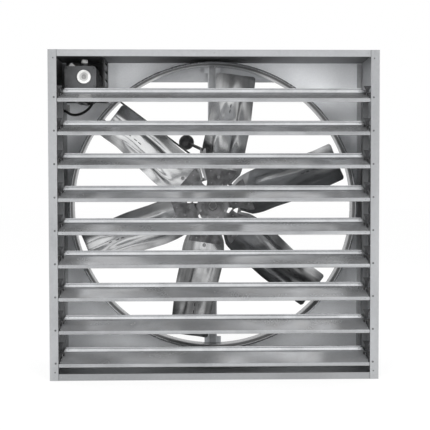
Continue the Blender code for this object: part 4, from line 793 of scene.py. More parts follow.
# Each finish: what makes it, its colour or the sidebar's, the share of that colour, and its settings
FINISHES = {
    # The shade of a casing finish is painted shade inside the box
    "casing_sheet": (casing_metal, "galvanised", 0.78, {"across": (14.0, 14.0, 1.2), "rivet_shade_heights": CORNER_RIVETS}),
    "end_sheet": (casing_metal, "galvanised", 0.86, {"across": LENGTHWISE, "shade": 0.68}),
    # The bottom panel: a darker copy of the end sheet, painted shade on the bottom flange, with painted shade inside
    # too
    "base_sheet": (casing_metal, "galvanised", 0.62, {"across": LENGTHWISE, "shade": 0.20}),
    # The orifice panel: a much brighter copy of the sheet, painted light where the box shades it
    "panel_sheet": (galvanised, "galvanised", 1.55, {
        "across": (3.0, 3.0, 3.0), "dark": 0.86, "crystal": 220.0, "cloud": 4.0, "metallic": 0.15}),
    "shutter_sheet": (galvanised, "galvanised", 0.92, {
        "across": (2.6, 7.0, 7.0), "dark": 0.58, "crystal": 260.0, "rough": (0.22, 0.29), "cloud": 5.0,
        "sharp": 0.10, "skin": 0.0, "edge": 0.50, "metallic": 0.70}),
    # The shutters' rail faces: a brighter copy of the sheet, painted light; their lip faces: a darker one, painted
    # shade
    "rail_sheet": (galvanised, "galvanised", 1.26, {**FACE_SHEET, "rough": (0.18, 0.26)}),
    "lip_sheet": (galvanised, "galvanised", 0.86, {**FACE_SHEET, "rough": (0.20, 0.28)}),
    # The link bars: a dark copy of the sheet, painted shade where they stand behind the flanges
    "link_sheet": (galvanised, "galvanised", 0.50, {"across": UPRIGHT, "dark": 0.60, "edge": 0.5, "metallic": 0.6}),
    "fold_sheet": (galvanised, "galvanised", 0.92, {
        "across": (14.0, 14.0, 1.2), "dark": 0.7, "edge": 0.6, "metallic": 0.3}),
    "collar_sheet": (collar_metal, "galvanised", 1.15, {}),
    "bar_sheet": (bar_metal, "galvanised", 1.05, {}),
    "mirror_blade": (mirror_stainless, "stainless", 1.0, {}),
    "plated_steel": (bright_steel, "plated_steel", 1.0, {}),
    # A darker, duller copy of the plated steel: painted shade where it stands
    "dull_steel": (bright_steel, "plated_steel", 0.35, {"scale": 500.0, "rough": 0.42}),
    "nickel": (bright_steel, (0.88, 0.88, 0.87), 1.0, {"scale": 700.0, "rough": 0.22, "metallic": 0.45}),
    "lamination": (bright_steel, (0.22, 0.20, 0.19), 1.0, {"scale": 900.0, "rough": 0.45}),
    "grey_casting": (grey_casting, "casting", 1.0, {}),
    "black_iron": (painted, (0.020, 0.020, 0.021), 1.0, {"rough": 0.33}),
    "black_paint": (painted, "motor_paint", 1.0, {"rough": 0.36}),
    "box_plastic": (painted, "terminal_box", 1.0, {"rough": 0.45, "dusty": 0.15}),
    "black_plastic": (painted, (0.012, 0.012, 0.013), 1.0, {"rough": 0.42}),
    "strip_plastic": (painted, (0.080, 0.081, 0.084), 1.0, {"rough": 0.5}),
    "cap_plastic": (painted, "cap", 1.0, {"rough": 0.34, "worn": (0.5, 0.5, 0.5), "dusty": 0.25}),
    "cap_shadow": (painted, "cap", 0.62, {"rough": 0.4, "dusty": 0.1}),
    "cap_core": (painted, "cap", 0.36, {"rough": 0.4, "dusty": 0.1}),
    "black_rubber": (painted, (0.011, 0.011, 0.011), 1.0, {"rough": 0.62, "grain": 1200.0}),
}

# The slot of every finish whose slot has another name
SLOTS = {
    **dict.fromkeys(("collar_sheet", "shutter_sheet", "fold_sheet"), "galvanised"),
    **dict.fromkeys(("plated_steel", "nickel"), "bright_steel"),
    "mirror_blade": "stainless",
    "strip_plastic": "black_plastic",
    "cap_plastic": "white_plastic",
}
SURFACES = {}


def surface(name):
    """The material of this finish, made on first use from the colours in the sidebar."""
    if name not in SURFACES:
        maker, colour, share, settings = FINISHES[name]
        if isinstance(colour, str):
            colour = tuple(getattr(bpy.context.scene.fan_finishes, colour))
        SURFACES[name] = maker(name, shaded(colour, share), **settings)
    return SURFACES[name]


# Properties: the sizes and colours that a user would change


Length = partial(FloatProperty, unit="LENGTH")
Angle = partial(FloatProperty, subtype="ANGLE")
Colour = partial(FloatVectorProperty, subtype="COLOR")


class FanFinishes(bpy.types.PropertyGroup):
    """Base colours of the finishes"""

    galvanised: Colour(name="Galvanised sheet", description="Zinc-coated sheet", default=(0.56, 0.57, 0.585))
    stainless: Colour(name="Stainless blades", description="Bright rolled stainless", default=(0.60, 0.605, 0.61))
    plated_steel: Colour(name="Plated steel", description="Bolts, pins and bearings", default=(0.55, 0.55, 0.56))
    casting: Colour(name="Cast metal", description="Spider, hub and pulleys", default=(0.22, 0.22, 0.225))
    motor_paint: Colour(name="Motor paint", description="Motor and its bracket", default=(0.014, 0.014, 0.015))
    terminal_box: Colour(name="Terminal box", description="Dark grey moulding", default=(0.060, 0.061, 0.064))
    cap: Colour(name="Round cap", description="White moulding on the box", default=(0.60, 0.60, 0.59))


class FanShutterSizes(bpy.types.PropertyGroup):
    """A shutter's cross section, measured from its pivot"""

    sheet: Length(name="Sheet", description="Sheet thickness", default=0.0012)
    fold: Length(name="Fold", description="Radius of the folds", default=0.0016)
    half_length: Length(name="Half length", description="Middle to end", default=0.6475)
    lip_extra: Length(name="Lip extra", description="Lip past the end", default=0.005)
    lip_reach: Length(name="Lip reach", description="Lip before the pivot", default=0.0715)
    lip_bottom: Length(name="Lip bottom", description="Lip under the pivot", default=0.0375)
    lip_height: Length(name="Lip height", description="Height of the lip", default=0.0150)
    hem: Length(name="Hem", description="Folded edge under the lip", default=0.0055)
    rail_reach: Length(name="Rail reach", description="Rail behind the pivot", default=0.026)
    rail_bottom: Length(name="Rail bottom", description="Rail over the pivot", default=0.011)
    rail_height: Length(name="Rail height", description="Height of the rail", default=0.019)
    heel_reach: Length(name="Heel reach", description="Heel behind the pivot", default=0.062)
    heel_height: Length(name="Heel height", description="Heel over the pivot", default=0.024)
    rivet: Length(name="Rivet", description="Rivet head radius", default=0.0026)


class FanBladeSizes(bpy.types.PropertyGroup):
    """The pressed fan blades"""

    count: IntProperty(name="Blades", description="How many", default=6)
    turn: Angle(name="Turn", description="First blade from the top", default=math.radians(10))
    root: Length(name="Root radius", description="Where a blade starts", default=0.112)
    tip: Length(name="Tip radius", description="Where a blade ends", default=0.611)
    width: Length(name="Width", description="Widest chord", default=0.212)
    plate: Length(name="Plate", description="Plate thickness", default=0.002)
    setback: Length(name="Setback", description="Behind the outlet face", default=0.371)
    root_pitch: Angle(name="Root pitch", description="Pitch at the root", default=math.radians(26))
    tip_pitch: Angle(name="Tip pitch", description="Pitch at the tip", default=math.radians(15))
    camber: FloatProperty(name="Camber", description="Share of the width", default=0.065)
    rib: Length(name="Rib", description="Height of the pressed ribs", default=0.0035)


class FanCollarSizes(bpy.types.PropertyGroup):
    """The round collar"""

    sheet: Length(name="Sheet", description="Sheet thickness", default=0.0015)
    flare: Length(name="Flare", description="Radius at the back", default=0.009)
    bead: Length(name="Bead", description="Radius of the front bead", default=0.0040)
    sides: IntProperty(name="Sides", description="Steps round the collar", default=192)


PROPERTY_GROUPS = {
    "fan_finishes": FanFinishes,
    "fan_shutters": FanShutterSizes,
    "fan_blades": FanBladeSizes,
    "fan_collar": FanCollarSizes,
}


# Casing and collar


def finish_casing():
    """The casing's sheets keep their CAD shape and get galvanised finishes."""
    dress("casing_sheet", "left_side_panel", "right_side_panel")
    dress("end_sheet", "top_panel")
    # A darker copy for the bottom panel: painted shade
    dress("base_sheet", "bottom_panel")
    # A brighter copy for the orifice panel: painted light
    dress("panel_sheet", "orifice_panel")


def make_flange_rivets():
    """Small blind rivets along the outlet flanges, where the photograph shows them."""
    low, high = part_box("top_panel")
    heads = [
        rivet_head(FLANGE_RIVET, FLANGE_RIVET * 0.5, (x, low.y, z))
        for x in (low.x + RIVET_TO_END, 0.0, high.x - RIVET_TO_END)
        for z in (high.z - END_FLANGE / 2, END_FLANGE / 2)
    ]
    finish_piece(join(heads), "flange_rivets", "casing", "plated_steel")


def make_collar(sizes):
    """The collar's section runs once round: bead, inner wall, flare, flange and back."""
    low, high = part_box("venturi_ring")
    rim = (high.x - low.x) / 2
    front, seat = low.y, high.y
    inner, outer = COLLAR_THROAT, COLLAR_THROAT + sizes.sheet
    bead, flare, inside = sizes.bead, sizes.flare, sizes.flare + sizes.sheet
    steps = [(outer, front + bead * 2)]
    steps += [(outer + bead * 0.3 + u, front + bead + v) for u, v in arc(bead, 60, -60)]
    steps += [(inner + bead * 0.35, front), (inner, front + bead * 0.4), (inner, seat - inside)]
    steps += [(inner + inside - u, seat - inside + v) for u, v in arc(inside, 15, 90)]
    steps += [(rim, seat), (rim, seat - sizes.sheet)]
    steps += [(outer + flare - u, seat - inside + v) for u, v in arc(flare, 90, 0)]
    collar = turned(steps, FAN_CENTRE, "Y", sizes.sides, closed=True)
    finish_piece(collar, "collar", "casing", "collar_sheet", ("venturi_ring",), 40)


# Shutters


def shutter_line(sizes):
    """The blade's folds about its pivot, with a swage pressed along the rail."""
    rail, bottom = sizes.rail_reach, sizes.rail_bottom
    groove = bottom + sizes.rail_height * GROOVE_SHARE
    depth = sizes.sheet * GROOVE_DEPTH
    return [
        (-sizes.lip_reach + sizes.hem, -sizes.lip_bottom + sizes.sheet),
        (-sizes.lip_reach + sizes.hem * 0.5, -sizes.lip_bottom),
        (-sizes.lip_reach, -sizes.lip_bottom + sizes.hem * 0.35),
        (-sizes.lip_reach, -sizes.lip_bottom + sizes.lip_height),
        (rail, bottom),
        (rail, groove),
        (rail + depth, groove + depth),
        (rail, groove + depth * 2),
        (rail, bottom + sizes.rail_height),
        (sizes.heel_reach, sizes.heel_height),
    ]


def cut_shutter_end(piece, side, sizes):
    """Cuts the rail's end on the slant and leaves the lip its full length."""
    lean = math.radians(RAIL_END_LEAN)
    place = (side * sizes.half_length, 0, sizes.rail_bottom)
    normal = (side * math.cos(lean), 0, math.sin(lean))
    edit(piece, "SELECT")
    bpy.ops.mesh.bisect(plane_co=place, plane_no=normal, clear_outer=True, clear_inner=False, use_fill=False)
    leave()


def shutter_ear(side, sizes):
    """The ear: a plate that tapers to the crank's eye, with a round boss at the pivot."""
    x = side * (sizes.half_length - EAR_SHEET / 2)
    half = EAR_SHEET / 2
    boss = turned([(EAR_BOSS, x - EAR_SHEET), (EAR_BOSS, x + EAR_SHEET)], (0, 0, 0), "X", 24)
    eye = turned([(EAR_EYE, x - half), (EAR_EYE, x + half)], (0, *CRANK), "X", 24)
    web = block((x - half, *EAR_WEB[0]), (x + half, *EAR_WEB[1]))
    edit(web)
    for behind, over, shift in EAR_TAPER:
        choose(web, "VERT", lambda middle: (middle.y > 0) == behind and (middle.z > 0) == over)
        bpy.ops.transform.translate(value=(0, 0, shift))
    leave()
    return join([boss, eye, web])


def make_shutters(sizes):
    """One shutter is modelled about its pivot, then copied to every pivot."""
    half = sizes.half_length
    line = shutter_line(sizes)
    lip = folded_strip(line[:4], -half - sizes.lip_extra, half + sizes.lip_extra)
    blade = folded_strip(line[3:], -half, half)
    for piece in (lip, blade):
        bevel(piece, sizes.fold, 3, 12)
    for side in SIDES.values():
        cut_shutter_end(blade, side, sizes)
    for piece in (lip, blade):
        solidify(piece, sizes.sheet)
    rivets = []
    for x in (-half + RIVET_TO_LIP_END, 0.0, half - RIVET_TO_LIP_END):
        place = (x, -sizes.lip_reach - sizes.sheet / 2, -sizes.lip_bottom + sizes.lip_height * 0.5)
        rivets.append(rivet_head(sizes.rivet, sizes.rivet * 0.4, place))
    for x in (-half + RIVET_TO_RAIL_END, half - RIVET_TO_RAIL_END):
        place = (x, sizes.rail_reach - sizes.sheet * 1.5, sizes.rail_bottom + sizes.rail_height * 0.45)
        rivets.append(rivet_head(sizes.rivet, sizes.rivet * 0.5, place))
    ears = [shutter_ear(side, sizes) for side in SIDES.values()]
    model = join(rivets + ears + [lip, blade])
    for number, pivot in enumerate(PIVOTS, start=1):
        name = f"shutter_{number}"
        made = copied(model, f"folded_{name}")
        made.location = pivot
        finish_piece(made, f"folded_{name}", name, "shutter_sheet", (name,), 30)
        # Painted light on the rail faces and painted shade on the lip faces of the same sheet
        add_surface(made, "rail_sheet", lambda face: face.normal.y < -0.75 and face.center.z > pivot.z)
        add_surface(made, "lip_sheet", lambda face: face.normal.y < -0.75 and face.center.z < pivot.z)
    bpy.data.objects.remove(model)


def make_shutter_bushings(sizes):
    """Black bushings inside the ears of every shutter."""
    for number, pivot in enumerate(PIVOTS, start=1):
        ends = []
        for side in SIDES.values():
            x = side * (sizes.half_length - EAR_SHEET)
            steps = [(radius, x - side * inward) for radius, inward in BUSHING]
            ends.append(turned(steps, (0, pivot.y, pivot.z), "X", 20))
        finish_piece(join(ends), f"bushings_{number}", f"shutter_{number}", "black_plastic")


def make_pivot_caps():
    """Black moulded caps that hold the shutters' pins on the pivot strips."""
    for name, side in SIDES.items():
        near, far = sorted(side * x for x in PIVOT_CAP_ACROSS)
        caps = [
            block(
                (near, pivot.y + PIVOT_CAP_DEPTH[0], pivot.z + PIVOT_CAP_RISE[0]),
                (far, pivot.y + PIVOT_CAP_DEPTH[1], pivot.z + PIVOT_CAP_RISE[1]),
                PIVOT_CAP_EDGE,
            )
            for pivot in PIVOTS
        ]
        finish_piece(join(caps), f"{name}_pivot_caps", "casing", "black_plastic")


# Fan blades


def read_along(shares, values, share):
    """The value of a smooth curve through the stations."""
    for i in range(len(shares) - 1):
        if share <= shares[i + 1]:
            t = (share - shares[i]) / (shares[i + 1] - shares[i])
            a = values[max(i - 1, 0)]
            b, c = values[i], values[i + 1]
            d = values[min(i + 2, len(values) - 1)]
            straight = b + (c - b) * t
            curve = b + 0.5 * t * (c - a + t * (2 * a - 5 * b + 4 * c - d + t * (3 * (b - c) + d - a)))
            return (straight + curve) / 2
    return values[-1]


def step_between(low, high, value):
    """A smooth rise from 0 to 1 between two values."""
    t = min(1.0, max(0.0, (value - low) / (high - low)))
    return t * t * (3 - 2 * t)


def blade_relief(share, chord, sizes):
    """How far the pressing stands towards the outlet: two ribs and a fluted tip."""
    along = step_between(*RIB_RISE, share) * (1 - step_between(*RIB_FALL, share))
    ribs = sum(along * math.exp(-(((chord - place) / RIB_HALF) ** 2)) for place in RIB_CHORDS)
    flute = step_between(*FLUTE_RISE, share) * math.exp(-(((chord - FLUTE_CHORD) / FLUTE_HALF) ** 2)) * FLUTE_SHARE
    return sizes.rib * (ribs + flute)


def blade_point(share, chord, sizes, turn, raised=0.0):
    """A point of the blade: its share of the way from root to tip, and its place across the chord."""
    radius = sizes.root + (sizes.tip - sizes.root) * share
    pitch = sizes.root_pitch + (sizes.tip_pitch - sizes.root_pitch) * share
    width = sizes.width * read_along(STATION_SHARES, WIDTH_SHARES, share)
    lead = read_along(STATION_SHARES, LEAD_SHARES, share)
    camber_start = STATION_SHARES[2]
    depth_share = min(1.0, max(0.0, (share - camber_start) / (1 - camber_start) * 2))
    bow = sizes.camber * sizes.width * depth_share * (1 - (2 * chord) ** 2)
    lift = blade_relief(share, chord, sizes) - bow + raised
    place = (chord + 0.5 - lead) * width
    side = place * math.cos(pitch) - lift * math.sin(pitch)
    depth = place * math.sin(pitch) + lift * math.cos(pitch)
    x = FAN_AXIS.x + radius * math.sin(turn) + side * math.cos(turn)
    z = FAN_AXIS.z + radius * math.cos(turn) - side * math.sin(turn)
    return Vector((x, OUTLET_FACE + sizes.setback - depth, z))


def blade_seat(share, chord, sizes, turn):
    """A place on the blade's outlet face, the way along the blade there, and the way out of it."""
    middle = blade_point(share, chord, sizes, turn)
    along = (blade_point(share + 0.02, chord, sizes, turn) - middle).normalized()
    out = (blade_point(share, chord + 0.05, sizes, turn) - middle).cross(along).normalized()
    if out.y > 0:
        out = -out
    return middle + out * sizes.plate / 2, along, out


def tip_round(share, chord):
    """Draws the corners of the tip in, so that it ends in a flat with round corners."""
    start, reach = TIP_CORNER
    corner = max(0.0, abs(chord) - start) / reach
    return share - step_between(TIP_START, 1.0, share) * TIP_PULL * corner * corner


def pressed_grid(steps, plate, place):
    """A grid whose points a formula places, thickened to a plate."""
    piece = placed(bpy.ops.mesh.primitive_grid_add, x_subdivisions=steps[0], y_subdivisions=steps[1], size=1)
    for vertex in piece.data.vertices:
        vertex.co = place(vertex.co.x + 0.5, vertex.co.y)
    solidify(piece, plate)
    tidy_mesh(piece)
    return piece


def blade_turns(sizes):
    """Each blade's number and its turn from the top."""
    return [(number + 1, sizes.turn + 2 * math.pi * number / sizes.count) for number in range(sizes.count)]


def make_blades(sizes):
    """Every blade is pressed from a grid, bolted to its arm, and given short black strips near its tip: painted
    shade where it is slotted.
    """
    for number, turn in blade_turns(sizes):
        node = f"blade_{number}"
        piece = pressed_grid(
            BLADE_GRID, sizes.plate, lambda share, chord: blade_point(tip_round(share, chord), chord, sizes, turn)
        )
        finish_piece(piece, f"pressed_{node}", "fan", "mirror_blade", (node,), 50)
        heads = []
        for radius in ARM_BOLTS:
            seat, along, out = blade_seat((radius - sizes.root) / (sizes.tip - sizes.root), 0.0, sizes, turn)
            head = hex_head(BLADE_BOLT, BLADE_BOLT * 0.7, (0, 0, 0), "Z", 1)
            head.data.transform(stood(seat, out))
            heads.append(head)
        finish_piece(join(heads), f"blade_bolts_{number}", "fan", "plated_steel")
        # Short black strips: painted shade seen through the blade where it is slotted
        slot_shades = []
        for share in BLADE_SLOTS:
            seat, along, out = blade_seat(share, SLOT_CHORD, sizes, turn)
            slot_shade = block((-SLOT_LENGTH / 2, -SLOT_WIDTH / 2, 0), (SLOT_LENGTH / 2, SLOT_WIDTH / 2, SLOT_WIDTH / 4))
            facing = Matrix((along, out.cross(along), out)).transposed().to_4x4()
            slot_shade.data.transform(Matrix.Translation(seat) @ facing)
            slot_shades.append(slot_shade)
        finish_piece(join(slot_shades), f"blade_slots_{number}", "fan", "black_plastic")


def make_root_plates(sizes):
    """A dark doubling plate on every blade's root, with its small rivets."""
    start, end = ROOT_PLATE
    for number, turn in blade_turns(sizes):
        plate = pressed_grid(ROOT_PLATE_GRID, sizes.plate, lambda along, across: blade_point(
            start + along * (end - start), across * ROOT_PLATE_CHORD, sizes, turn, sizes.plate * 1.3
        ))
        heads = []
        for share, chord in ROOT_BOLTS:
            seat = blade_point(share, chord, sizes, turn, sizes.plate * 1.8)
            heads.append(rivet_head(ROOT_BOLT, ROOT_BOLT * 0.6, seat, 12))
        finish_piece(join(heads), f"root_rivets_{number}", "fan", "plated_steel")
        finish_piece(plate, f"root_plate_{number}", "fan", "grey_casting", smooth=50)


def make_hub_cover():
    """An eight-sided plate with pressed rings in front of the spider, and its bolts."""
    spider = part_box("blade_spider")[0].y
    back, front = spider - COVER_GAP, spider - COVER_FRONT
    outer, inner = COVER_RADII
    steps = [(outer, back), (outer, front), (inner, front), (inner, back)]
    plate = turned(steps, FAN_CENTRE, "Y", 8, closed=True)
    rings = []
    for radius in COVER_RINGS:
        steps = [(radius + out, front + up) for out, up in RING_SECTION]
        rings.append(turned(steps, FAN_CENTRE, "Y", 64, closed=True))
    bevel(plate, COVER_EDGE)
    finish_piece(join(rings + [plate]), "hub_cover", "fan", "grey_casting")
    bolts = []
    for number in range(HUB_BOLTS):
        turn = 2 * math.pi * (number + 0.5) / HUB_BOLTS
        place = FAN_CENTRE + Vector((HUB_BOLT_CIRCLE * math.sin(turn), front, HUB_BOLT_CIRCLE * math.cos(turn)))
        bolts.append(hex_head(*HUB_BOLT, place))
    finish_piece(join(bolts), "hub_bolts", "fan", "plated_steel")


# Everything that keeps its CAD shape


def finish_fittings():
    """Finishes of the nodes whose CAD shape stays."""
    finishes = {
        "strip_plastic": ("left_pivot_strip", "right_pivot_strip"),
        "black_plastic": ("cable_gland",),
        # Link bars in a dark copy of the sheet: painted shade
        "link_sheet": ("left_link_bar", "right_link_bar"),
        "bar_sheet": ("support_bar", "upper_bar_bracket", "lower_bar_bracket"),
        "grey_casting": ("hammer_bracket", "blade_spider", "fan_hub", "driven_pulley", "motor_pulley"),
        # A darker copy of plated steel on the axle, its nut and front races: painted shade
        "dull_steel": ("axle", "axle_nut", "front_inner_race", "front_outer_race"),
        "plated_steel": (
            "rear_outer_race", "rear_inner_race", "front_ball_row", "rear_ball_row", "motor_rotor",
            "front_motor_bearing", "rear_motor_bearing",
        ),
        "nickel": ("cable_clip",),
        "black_rubber": ("v_belt", "cable_grommet"),
        "black_paint": ("motor_body", "front_end_bell", "rear_end_bell", "motor_bracket"),
        "box_plastic": ("terminal_box", "terminal_lid"),
        "lamination": ("motor_stator",),
    }
    for finish, nodes in finishes.items():
        dress(finish, *nodes)


# Small fittings


def make_corner_seam_shades():
    """Dark strips where the side flanges lap the end flanges: painted shade in the gaps of the laps."""
    low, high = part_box("top_panel")
    half, proud, tall = SEAM_WIDTH / 2, SEAM_WIDTH / 8, END_FLANGE / 2 - SEAM_WIDTH / 4
    seams = []
    for side in SIDES.values():
        x = side * SEAM_PLACE
        for middle in (high.z - END_FLANGE / 2, END_FLANGE / 2):
            seams.append(block((x - half, low.y - proud, middle - tall), (x + half, low.y + proud, middle + tall)))
    # Black strips that stand for painted shade in the laps' gaps
    finish_piece(join(seams), "corner_seams", "casing", "black_rubber")


def make_edge_folds():
    """The folded edges of the inner wall beside the collar."""
    low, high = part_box("orifice_panel")
    folds = []
    for side in SIDES.values():
        near, far = sorted((side * (high.x - FOLD_GAP), side * (high.x - FOLD_WIDTH)))
        folds.append(block((near, low.y - FOLD_SHEET * 2, low.z + END_FLANGE),
                           (far, low.y - FOLD_SHEET, high.z - FOLD_TOP_ROOM), 0.0004))
    finish_piece(join(folds), "edge_folds", "casing", "fold_sheet")


def make_link_clips():
    """Funnel-shaped clips that tie each shutter's ends to the link bars."""
    for name, side in SIDES.items():
        back, middle_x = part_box(f"{name}_link_bar")[0].y - CLIP_GAP, side * CLIP_MIDDLE
        front = back - CLIP_SHEET
        clips = []
        for pivot in PIVOTS:
            plate, neck = (
                block((middle_x - half, front, pivot.z + rise[0]), (middle_x + half, back, pivot.z + rise[1]))
                for half, rise in ((CLIP_HALF, CLIP_RISE), (NECK_HALF, NECK_RISE))
            )
            edit(plate)
            choose(plate, "VERT", lambda middle: middle.z < pivot.z + sum(CLIP_RISE) / 2)
            bpy.ops.transform.resize(value=(CLIP_TAPER, 1, 1))
            leave()
            head = rivet_head(*CLIP_RIVET, (middle_x, front, pivot.z + CLIP_RIVET_RISE))
            clips += [plate, neck, head]
        finish_piece(join(clips), f"{name}_link_clips", f"{name}_link", "strip_plastic")


def make_hammer():
    """The drop hammer's rod and its cast ball."""
    low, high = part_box("hammer_ball")
    middle, radius = (low + high) / 2, (high.x - low.x) / 2
    ball = placed(bpy.ops.mesh.primitive_uv_sphere_add, segments=48, ring_count=32, radius=radius, location=middle)
    finish_piece(ball, "drop_ball", "shutter_3", "black_iron", ("hammer_ball",), 60)
    low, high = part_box("hammer_bracket")
    foot = Vector(((low.x + high.x) / 2, high.y - ROD_FOOT[0], high.z - ROD_FOOT[1]))
    travel = middle - foot
    rod = placed(bpy.ops.mesh.primitive_cylinder_add, vertices=24, radius=ROD_RADIUS, depth=travel.length)
    rod.data.transform(stood((middle + foot) / 2, travel))
    finish_piece(rod, "drop_rod", "shutter_3", "black_paint", ("hammer_rod",))


def make_cable():
    """The motor's cable hangs from its gland in one easy curve to the wall."""
    low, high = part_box("cable_gland")
    start = Vector(((low.x + high.x) / 2, (low.y + high.y) / 2, low.z - CABLE_UNDER_GLAND))
    low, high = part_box("motor_cable")
    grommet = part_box("cable_grommet")[0].z
    wall = Vector((low.x + CABLE_TO_WALL, high.y - CABLE_RADIUS, grommet + CABLE_OVER_GROMMET))
    places = [start, *CABLE_HANG, wall]
    line = bpy.data.curves.new("round_cable", "CURVE")
    line.dimensions = "3D"
    line.bevel_depth = CABLE_RADIUS
    line.bevel_resolution = 6
    line.resolution_u = 12
    line.use_fill_caps = True
    path = line.splines.new("NURBS")
    path.points.add(len(places) - 1)
    for point, place in zip(path.points, places):
        point.co = (*place, 1.0)
    path.order_u = 4
    path.use_endpoint_u = True
    cable = bpy.data.objects.new("round_cable", line)
    bpy.context.scene.collection.objects.link(cable)
    pick(cable)
    bpy.ops.object.convert(target="MESH")
    cable = bpy.context.object
    tidy_mesh(cable)
    finish_piece(cable, "round_cable", "casing", "black_rubber", ("motor_cable",), 60)


def make_cap():
    """The round cap with its rings, darker towards its middle: painted shade in its recess."""
    low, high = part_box("terminal_cap")
    centre = (low + high) / 2
    radius, back, depth = (high.x - low.x) / 2, high.y, high.y - low.y
    cap = turned([(radius * across, back - depth * out) for across, out in CAP_SECTION], centre, "Y", 64)
    finish_piece(cap, "ringed_cap", "casing", "cap_plastic", ("terminal_cap",), 40)
    # Darker copies of the cap's colour towards its middle: painted shade in its recess
    for name, reach in (("cap_shadow", 0.60), ("cap_core", 0.34)):
        add_surface(cap, name, lambda face: (
            math.hypot(face.center.x - centre.x, face.center.z - centre.z) < radius * reach
            and face.center.y < back - depth * 0.2))


def make_gland():
    """The gland on top of the box: a bright nickel nut over a foot in a darker copy of the steel, painted shade."""
    low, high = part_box("top_gland")
    radius, height = (high.x - low.x) / 2, high.z - low.z
    steps = [(radius * across, low.z + height * up) for across, up in GLAND_SECTION]
    gland = turned(steps, (low + high) / 2, "Z", 12)
    finish_piece(gland, "threaded_gland", "casing", "nickel", ("top_gland",), 30)
    # The foot: a darker copy of the steel, painted shade under the nut
    add_surface(gland, "dull_steel", lambda face: face.center.z < low.z + height * 0.45)


def make_lid_details():
    """The lid's screws and the earth lug behind it."""
    low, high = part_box("terminal_lid")
    screws = [
        rivet_head(*LID_SCREW, (x, low.y + 0.0002, z))
        for x in (low.x + LID_SCREW_INSET, high.x - LID_SCREW_INSET)
        for z in (low.z + LID_SCREW_INSET, high.z - LID_SCREW_INSET)
    ]
    finish_piece(join(screws), "lid_screws", "casing", "black_plastic")
    lug = block(*((LUG_ACROSS[end], LUG_DEPTH[end], high.z + LUG_RISE[end]) for end in (0, 1)))
    edit(lug)
    choose(lug, "VERT", lambda middle: middle.z > high.z + sum(LUG_RISE) / 2)
    bpy.ops.transform.resize(value=(LUG_POINT, 1, 1))
    leave()
    finish_piece(lug, "earth_lug", "casing", "nickel")


# Stage


def cleared_tree(holder, output):
    """A material's or world's empty node tree and its output's Surface."""
    holder.use_nodes = True
    tree = holder.node_tree
    tree.nodes.clear()
    return tree, add(tree, output).inputs["Surface"]


def white_where_seen(tree, sink, plain, white, share):
    """Shows white to the camera, in reflections and through glass, and keeps the plain look's light."""
    rays = add(tree, "ShaderNodeLightPath").outputs
    seen = maths(tree, "MAXIMUM", rays["Is Camera Ray"], rays["Is Glossy Ray"])
    seen = maths(tree, "MAXIMUM", seen, rays["Is Transmission Ray"])
    mix = add(tree, "ShaderNodeMixShader")
    for socket, value in zip(mix.inputs, (maths(tree, "MULTIPLY", seen, share), plain.outputs[0], white.outputs[0])):
        feed(tree, socket, value)
    feed(tree, sink, mix.outputs[0])


def make_floor():
    """A wide pale floor under the fan."""
    place = (0, 0, LOW.z - FLOOR_GAP)
    floor = placed(
        bpy.ops.mesh.primitive_circle_add, vertices=64, radius=FLOOR_RADIUS, fill_type="NGON", location=place
    )
    floor.name = "studio_floor"
    pale = bpy.data.materials.new("studio_floor")
    tree, sink = cleared_tree(pale, "ShaderNodeOutputMaterial")
    paint = add(tree, "ShaderNodeBsdfDiffuse")
    paint.inputs["Color"].default_value = FLOOR_COLOUR
    glow = add(tree, "ShaderNodeEmission")
    glow.inputs["Strength"].default_value = 1.0
    white_where_seen(tree, sink, paint, glow, FLOOR_WHITE)
    floor.data.materials.append(pale)


def make_world():
    """Even white light from all round."""
    world = bpy.data.worlds.new("studio")
    bpy.context.scene.world = world
    tree, sink = cleared_tree(world, "ShaderNodeOutputWorld")
    skies = []
    for level in (WORLD_LEVEL, 1.0):
        sky = add(tree, "ShaderNodeBackground")
        sky.inputs["Color"].default_value = WHITE
        sky.inputs["Strength"].default_value = level
        skies.append(sky)
    white_where_seen(tree, sink, *skies, 1.0)


def make_lamps():
    """Soft lamps that reflections don't show."""
    for name, place, size, power in LAMPS:
        lamp = bpy.data.lights.new(name, "AREA")
        lamp.size = size
        lamp.energy = power
        holder = bpy.data.objects.new(name, lamp)
        bpy.context.scene.collection.objects.link(holder)
        holder.location = place
        aim = Vector((0, 0, HIGH.z / 2)) - Vector(place)
        holder.rotation_euler = aim.to_track_quat("-Z", "Y").to_euler()
        holder.visible_glossy = False


def make_camera():
    """The photograph's camera."""
    lens = bpy.data.cameras.new("camera")
    lens.sensor_width = SENSOR
    lens.lens = PHOTO_FOCAL / PHOTO_SIDE * SENSOR
    camera = bpy.data.objects.new("camera", lens)
    bpy.context.scene.collection.objects.link(camera)
    turn = Matrix.Rotation(-CAMERA_YAW, 4, "Z") @ Matrix.Rotation(math.pi / 2 + CAMERA_PITCH, 4, "X")
    camera.matrix_world = Matrix.Translation(CAMERA_PLACE) @ turn @ Matrix.Rotation(CAMERA_ROLL, 4, "Z")
    bpy.context.scene.camera = camera
    bpy.context.scene.view_settings.view_transform = "Standard"


# Operators


class FAN_OT_casing(bpy.types.Operator):
    """Finishes the casing's sheets and adds their rivets"""

    bl_idname = "fan.casing"
    bl_label = "Casing"

    def execute(self, context):
        finish_casing()
        make_flange_rivets()
        return {"FINISHED"}


class FAN_OT_collar(bpy.types.Operator):
    """Turns the round collar with its bead and flare"""

    bl_idname = "fan.collar"
    bl_label = "Collar"

    def execute(self, context):
        make_collar(context.scene.fan_collar)
        return {"FINISHED"}


class FAN_OT_shutters(bpy.types.Operator):
    """Folds one shutter, copies it to every pivot, and adds the bushings and the pivot caps"""

    bl_idname = "fan.shutters"
    bl_label = "Shutters"

    def execute(self, context):
        make_shutters(context.scene.fan_shutters)
        make_shutter_bushings(context.scene.fan_shutters)
        make_pivot_caps()
        return {"FINISHED"}


